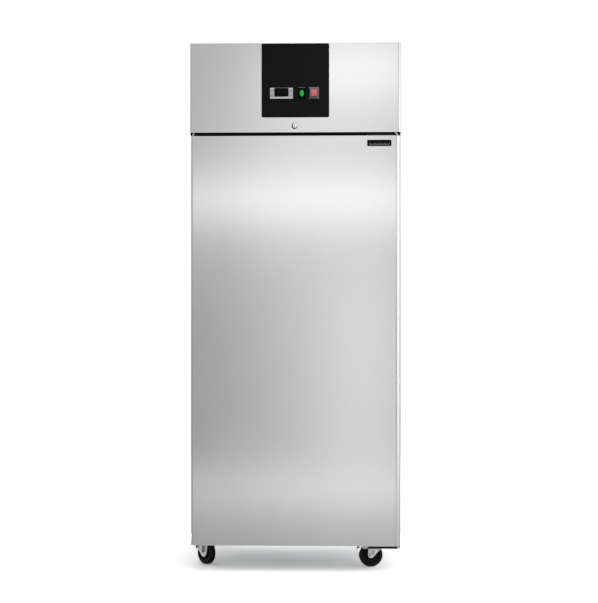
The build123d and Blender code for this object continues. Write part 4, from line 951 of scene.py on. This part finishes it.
def makeCompressor():
    place = at(unit["compressorX"], unit["compressorY"], 0)
    low, high, seam, under = unit["low"], unit["high"], unit["seam"], unit["low"] - unit["plate"]
    can, plate, feet, box, clip = (bmesh.new() for k in range(5))
    addTurned(can, [(0, low), (0.058, low), (0.066, low + 0.0022), (0.0722, low + 0.0075),
                    (0.0745, low + 0.016), (0.075, low + 0.028), (0.075, seam - 0.004),
                    (0.0778, seam - 0.0034), (0.0778, seam + 0.0034), (0.075, seam + 0.004),
                    (0.075, high - 0.044), (0.0738, high - 0.031), (0.07, high - 0.0195),
                    (0.0632, high - 0.0105), (0.054, high - 0.0045), (0.042, high - 0.0012), (0.028, high),
                    (0, high)], place, 72)
    addPiece("compressor_can", can, "compressor_black", stands=("compressor",), sharp=32)
    addPrism(plate, roundedOutline(unit["plateWidth"], unit["plateDepth"], unit["plateCorner"]), under, low,
             place)
    tall = under - unit["base"]
    for dx, dy in corners:
        spot = place @ at(dx * unit["footX"], dy * unit["footY"], 0)
        addHexBolt(plate, spot @ at(0, 0, low), 0.0058, 0.0052, 1.7)
        addTurned(feet, [(0, 0), (0.0118, 0), (0.0128, 0.0015), (0.0128, tall * 0.4), (0.0098, tall * 0.55),
                         (0.0098, tall * 0.7), (0.0116, tall * 0.8), (0.0116, tall), (0, tall)],
                  spot @ at(0, 0, unit["base"]), 28)
    addPiece("compressor_plate", plate, "compressor_black", bevel=0.0004)
    addPiece("compressor_feet", feet, "gasket", sharp=45)
    middle = (low + high) / 2
    addBlock(box, (-0.032, -0.099, middle - 0.037), (0.032, -0.056, middle + 0.037), place)
    addBlock(box, (-0.0335, -0.0965, middle - 0.0385), (0.0335, -0.0935, middle + 0.0385), place)
    addPiece("terminal_cover", box, "motor", bevel=0.0022, steps=3)
    addBar(clip, roundCorners([place @ Vector((x, y, middle + 0.012)) for x, y in (
        (-0.0345, -0.064), (-0.0345, -0.1), (0.0345, -0.1), (0.0345, -0.064))], 0.006), 0.0011, 8)
    addPiece("terminal_clip", clip, "zinc", sharp=60)


pipes = {"thin": 0.004, "thick": 0.006, "bend": 0.026, "high": 1.9182, "coilX": 0.069, "coilY": -0.198,
         "coilTop": 1.883, "leftX": -0.299, "low": 1.67, "behind": 0.272, "deck": 1.622, "suctionY": 0.294,
         "turn": 1.771, "startX": 0.1266, "sleeve": 0.0115}


def makePipes(thin, thick, bend, high, coilX, coilY, coilTop, leftX, low, behind, deck, suctionY, turn,
              startX, sleeve):
    bm, cover = bmesh.new(), bmesh.new()
    x, y, top = unit["compressorX"], unit["compressorY"], unit["high"]
    discharge = [(startX, y, top - 0.01), (startX, y, high), (coilX, coilY, high),
                 (coilX, coilY, coilTop - 0.004)]
    liquid = [(leftX, coilY + 0.006, low), (leftX, behind, low), (leftX, behind, deck)]
    suction = [(x, suctionY, deck), (x, suctionY, turn), (x, y + 0.072, turn)]
    for path, radius in ((discharge, thin), (liquid, thin), (suction, thick)):
        addBar(bm, roundCorners(path, bend, 8), radius, 16)
    # drier in the liquid line, with necked ends
    half = [(0.0042, 0.01), (0.006, 0.016), (0.0115, 0.026), (0.0122, 0.03)]
    addTurned(bm, half + [(0.0122, 0.112), (0.0115, 0.116), (0.006, 0.126), (0.0042, 0.132)],
              backing(leftX, 0.0, low), 32)
    # brazed sockets
    for spot, radius in ((at(startX, y, top - 0.002), thin), (at(coilX, coilY, coilTop), thin),
                         (backing(leftX, coilY + 0.009, low), thin), (backing(x, y + 0.0745, turn), thick)):
        addTurned(bm, [(radius, -0.004), (radius + 0.0022, -0.004), (radius + 0.0018, 0.006),
                       (radius, 0.011)], spot, 24, ring=True)
    addPiece("copper_lines", bm, "copper", stands=("pipework",), sharp=60)
    addBar(cover, [(x, suctionY, deck + 0.0005), (x, suctionY, turn - 0.034)], sleeve, 20)
    addPiece("suction_sleeve", cover, "gasket", sharp=60)


coils = {
    "condenser": {"x": -0.115, "width": 0.35, "front": -0.21, "depth": 0.024, "low": 1.648, "height": 0.225,
                  "tubes": 6, "folds": 110},
    "evaporator": {"x": 0.0, "width": 0.4, "front": 0.2, "depth": 0.09, "low": 1.3982, "height": 0.148,
                   "tubes": 4, "folds": 100},
}
coilTube = {"high": 0.003, "round": 0.00145, "fin": 0.0003, "header": 0.009}


def makeCoil(name, x, width, front, depth, low, height, tubes, folds):
    left, right, tube = x - width / 2, x + width / 2, coilTube["high"]
    pitch, tall, middle = (height - tube) / (tubes - 1), height + 0.02, front + depth / 2
    bm, fins = bmesh.new(), bmesh.new()
    for side in (left - coilTube["header"], right + coilTube["header"]):
        addTurned(bm, [(0, 0), (0.007, 0), (0.009, 0.0018), (0.009, tall - 0.0018), (0.007, tall), (0, tall)],
                  at(side, middle, low - 0.01), 32)
    for k in range(tubes):
        addPrism(bm, roundedOutline(depth, tube, coilTube["round"], 3), left - 0.003, right + 0.003,
                 sideways(middle, low + pitch * k + tube / 2))
    addPiece(name + "_coil_tubes", bm, "aluminium_coil", stands=(name + "_coil",), sharp=40)
    for k in range(1, tubes):
        under, over = low + pitch * (k - 1) + tube, low + pitch * k - coilTube["fin"]
        zigzag = [(left + width / folds * f, over if f % 2 else under) for f in range(folds + 1)]
        addPrism(fins, zigzag + [(x, z + coilTube["fin"]) for x, z in reversed(zigzag)], -depth * 0.98,
                 -depth * 0.02, facing(0, front, 0))
    addPiece(name + "_coil_fins", fins, "aluminium_coil", sharp=20)


collar = {"x": -0.115, "z": 1.7605, "radius": 0.1014, "wall": 0.0014, "front": -0.1262, "back": -0.119,
          "screwX": 0.16, "screwZ": 0.1, "screwY": -0.126, "screw": 0.0036}


def makeCollar(x, z, radius, wall, front, back, screwX, screwZ, screwY, screw):
    bm = bmesh.new()
    addTurned(bm, [(radius, front), (radius + 0.004, front), (radius + wall + 0.001, front + 0.0015),
                   (radius + wall, front + 0.003), (radius + wall, back), (radius, back)],
              backing(x, 0.0, z), 72, ring=True)
    for sx, sz in corners:
        addPanScrew(bm, backing(x + sx * screwX, screwY, z + sz * screwZ), screw)
    addPiece("shroud_collar", bm, "galvanised", sharp=40)


trayBolts = {"x": (-0.288, 0.288), "y": (-0.272, 0.232), "z": 1.638, "radius": 0.0062, "high": 0.0052}
boxScrews = {"x": (0.24, 0.33), "y": (0.298, 0.368), "z": 1.732, "radius": 0.0036}


def makeTrayBolts():
    bm = bmesh.new()
    for x in trayBolts["x"]:
        for y in trayBolts["y"]:
            addHexBolt(bm, at(x, y, trayBolts["z"]), trayBolts["radius"], trayBolts["high"], 1.5)
    for x in boxScrews["x"]:
        for y in boxScrews["y"]:
            addPanScrew(bm, at(x, y, boxScrews["z"]), boxScrews["radius"])
    addPiece("unit_bolts", bm, "boltSteel")


makeCompressor()
makePipes(**pipes)
for coilName, coilSizes in coils.items():
    makeCoil(coilName, **coilSizes)
makeCollar(**collar)
makeTrayBolts()
print("condensing unit done")

# Back cover of the machine compartment: a pressed sheet with louvres, and its screws

cover = {"half": 0.375, "low": 1.622, "high": 1.93, "face": 0.399, "sheet": 0.0008, "slotHalf": 0.09,
         "slotTall": 0.011, "pitch": 0.036, "firstRow": 1.697, "rows": 6, "columns": (-0.22, 0.0, 0.22),
         "glandX": 0.285, "glandZ": 1.677, "gland": 0.0102}
coverScrews = {"x": (-0.364, 0.0, 0.364), "z": (1.634, 1.918), "slotHalf": 0.0026}


def cutSheet(bm, xs, zs, front, back, isHole):
    verts = {}

    def corner(i, k, deep):
        if (i, k, deep) not in verts:
            verts[i, k, deep] = bm.verts.new((xs[i], back if deep else front, zs[k]))
        return verts[i, k, deep]
    solid = {(i, k) for i in range(len(xs) - 1) for k in range(len(zs) - 1)
             if not isHole((xs[i] + xs[i + 1]) / 2, (zs[k] + zs[k + 1]) / 2)}
    for i, k in solid:
        for deep in (False, True):
            bm.faces.new([corner(a, b, deep) for a, b in ((i, k), (i + 1, k), (i + 1, k + 1), (i, k + 1))])
        for (a, b), (c, d), other in (
                ((i, k), (i + 1, k), (i, k - 1)), ((i, k + 1), (i + 1, k + 1), (i, k + 1)),
                ((i, k), (i, k + 1), (i - 1, k)), ((i + 1, k), (i + 1, k + 1), (i + 1, k))):
            if other not in solid:
                bm.faces.new((corner(a, b, False), corner(c, d, False),
                              corner(c, d, True), corner(a, b, True)))


def makeBackCover(half, low, high, face, sheet, slotHalf, slotTall, pitch, firstRow, rows, columns, glandX,
                  glandZ, gland):
    slots = [(x - slotHalf, x + slotHalf, firstRow + pitch * row - slotTall / 2,
              firstRow + pitch * row + slotTall / 2) for row in range(rows) for x in columns]
    holes = slots + [(glandX - gland, glandX + gland, glandZ - gland, glandZ + gland)]
    xs = sorted({-half, half, *[edge for hole in holes for edge in hole[:2]]})
    zs = sorted({low, high, *[edge for hole in holes for edge in hole[2:]]})
    bm, screws = bmesh.new(), bmesh.new()
    cutSheet(bm, xs, zs, face, face + sheet,
             lambda x, z: any(left < x < right and under < z < over for left, right, under, over in holes))
    for left, right, under, over in slots:  # louvre blades lean into the compartment over each slot
        addPrism(bm, [(-0.0005, over + 0.0006), (0.0002, over - 0.0002), (-0.0075, under + 0.0018),
                      (-0.0082, under + 0.0026)], left, right, sideways(face + 0.0004))
    addPiece("back_cover", bm, "galvanised", stands=("rear_grille",), sharp=30)
    for x in coverScrews["x"]:
        for z in coverScrews["z"]:
            addTurned(screws, [(0, 0.0), (0.0042, 0.0), (0.0042, 0.0004), (0.0034, 0.0009), (0, 0.00098)],
                      backing(x, face, z), 20)
            addBlock(screws, (x - coverScrews["slotHalf"], face + 0.00085, z - 0.0004),
                     (x + coverScrews["slotHalf"], face + 0.00099, z + 0.0004))
    addPiece("back_cover_screws", screws, "boltSteel")


makeBackCover(**cover)
print("back done")

# Hinge screws, and screws inside the cavity

hingeScrews = {"x": (0.286, 0.322, 0.358), "y": -0.325, "z": (0.122, 1.646), "radius": 0.0052, "high": 0.0038}
hingeNut = {"place": (0.37, -0.36, 0.0905), "radius": 0.009, "high": 0.006}
cavityScrews = {"x": 0.321, "y": (-0.23, 0.26), "z": (0.222, 0.77, 1.314), "radius": 0.0034}
fanCoverScrews = {"x": 0.232, "y": 0.02, "z": (1.418, 1.545), "radius": 0.0038}


def makeFixings():
    bm, small = bmesh.new(), bmesh.new()
    for x in hingeScrews["x"]:
        for z in hingeScrews["z"]:
            addHexBolt(bm, facing(x, hingeScrews["y"], z), hingeScrews["radius"], hingeScrews["high"], 1.5)
    addHexBolt(bm, at(*hingeNut["place"]) @ spin(pi), hingeNut["radius"], hingeNut["high"], 1.2)
    addPiece("hinge_fixings", bm, "shadedHingeSteel")
    for side in (-1, 1):
        for y in cavityScrews["y"]:
            wall = Matrix(((0, 0, -side, side * cavityScrews["x"]), (side, 0, 0, y), (0, -1, 0, 0),
                           (0, 0, 0, 1)))
            for z in cavityScrews["z"]:
                addPanScrew(small, wall @ at(0, -z, 0), cavityScrews["radius"])
        for z in fanCoverScrews["z"]:
            addPanScrew(small, facing(side * fanCoverScrews["x"], fanCoverScrews["y"], z),
                        fanCoverScrews["radius"])
    addPiece("cavity_screws", small, "boltSteel")


makeFixings()
print("fixings done")
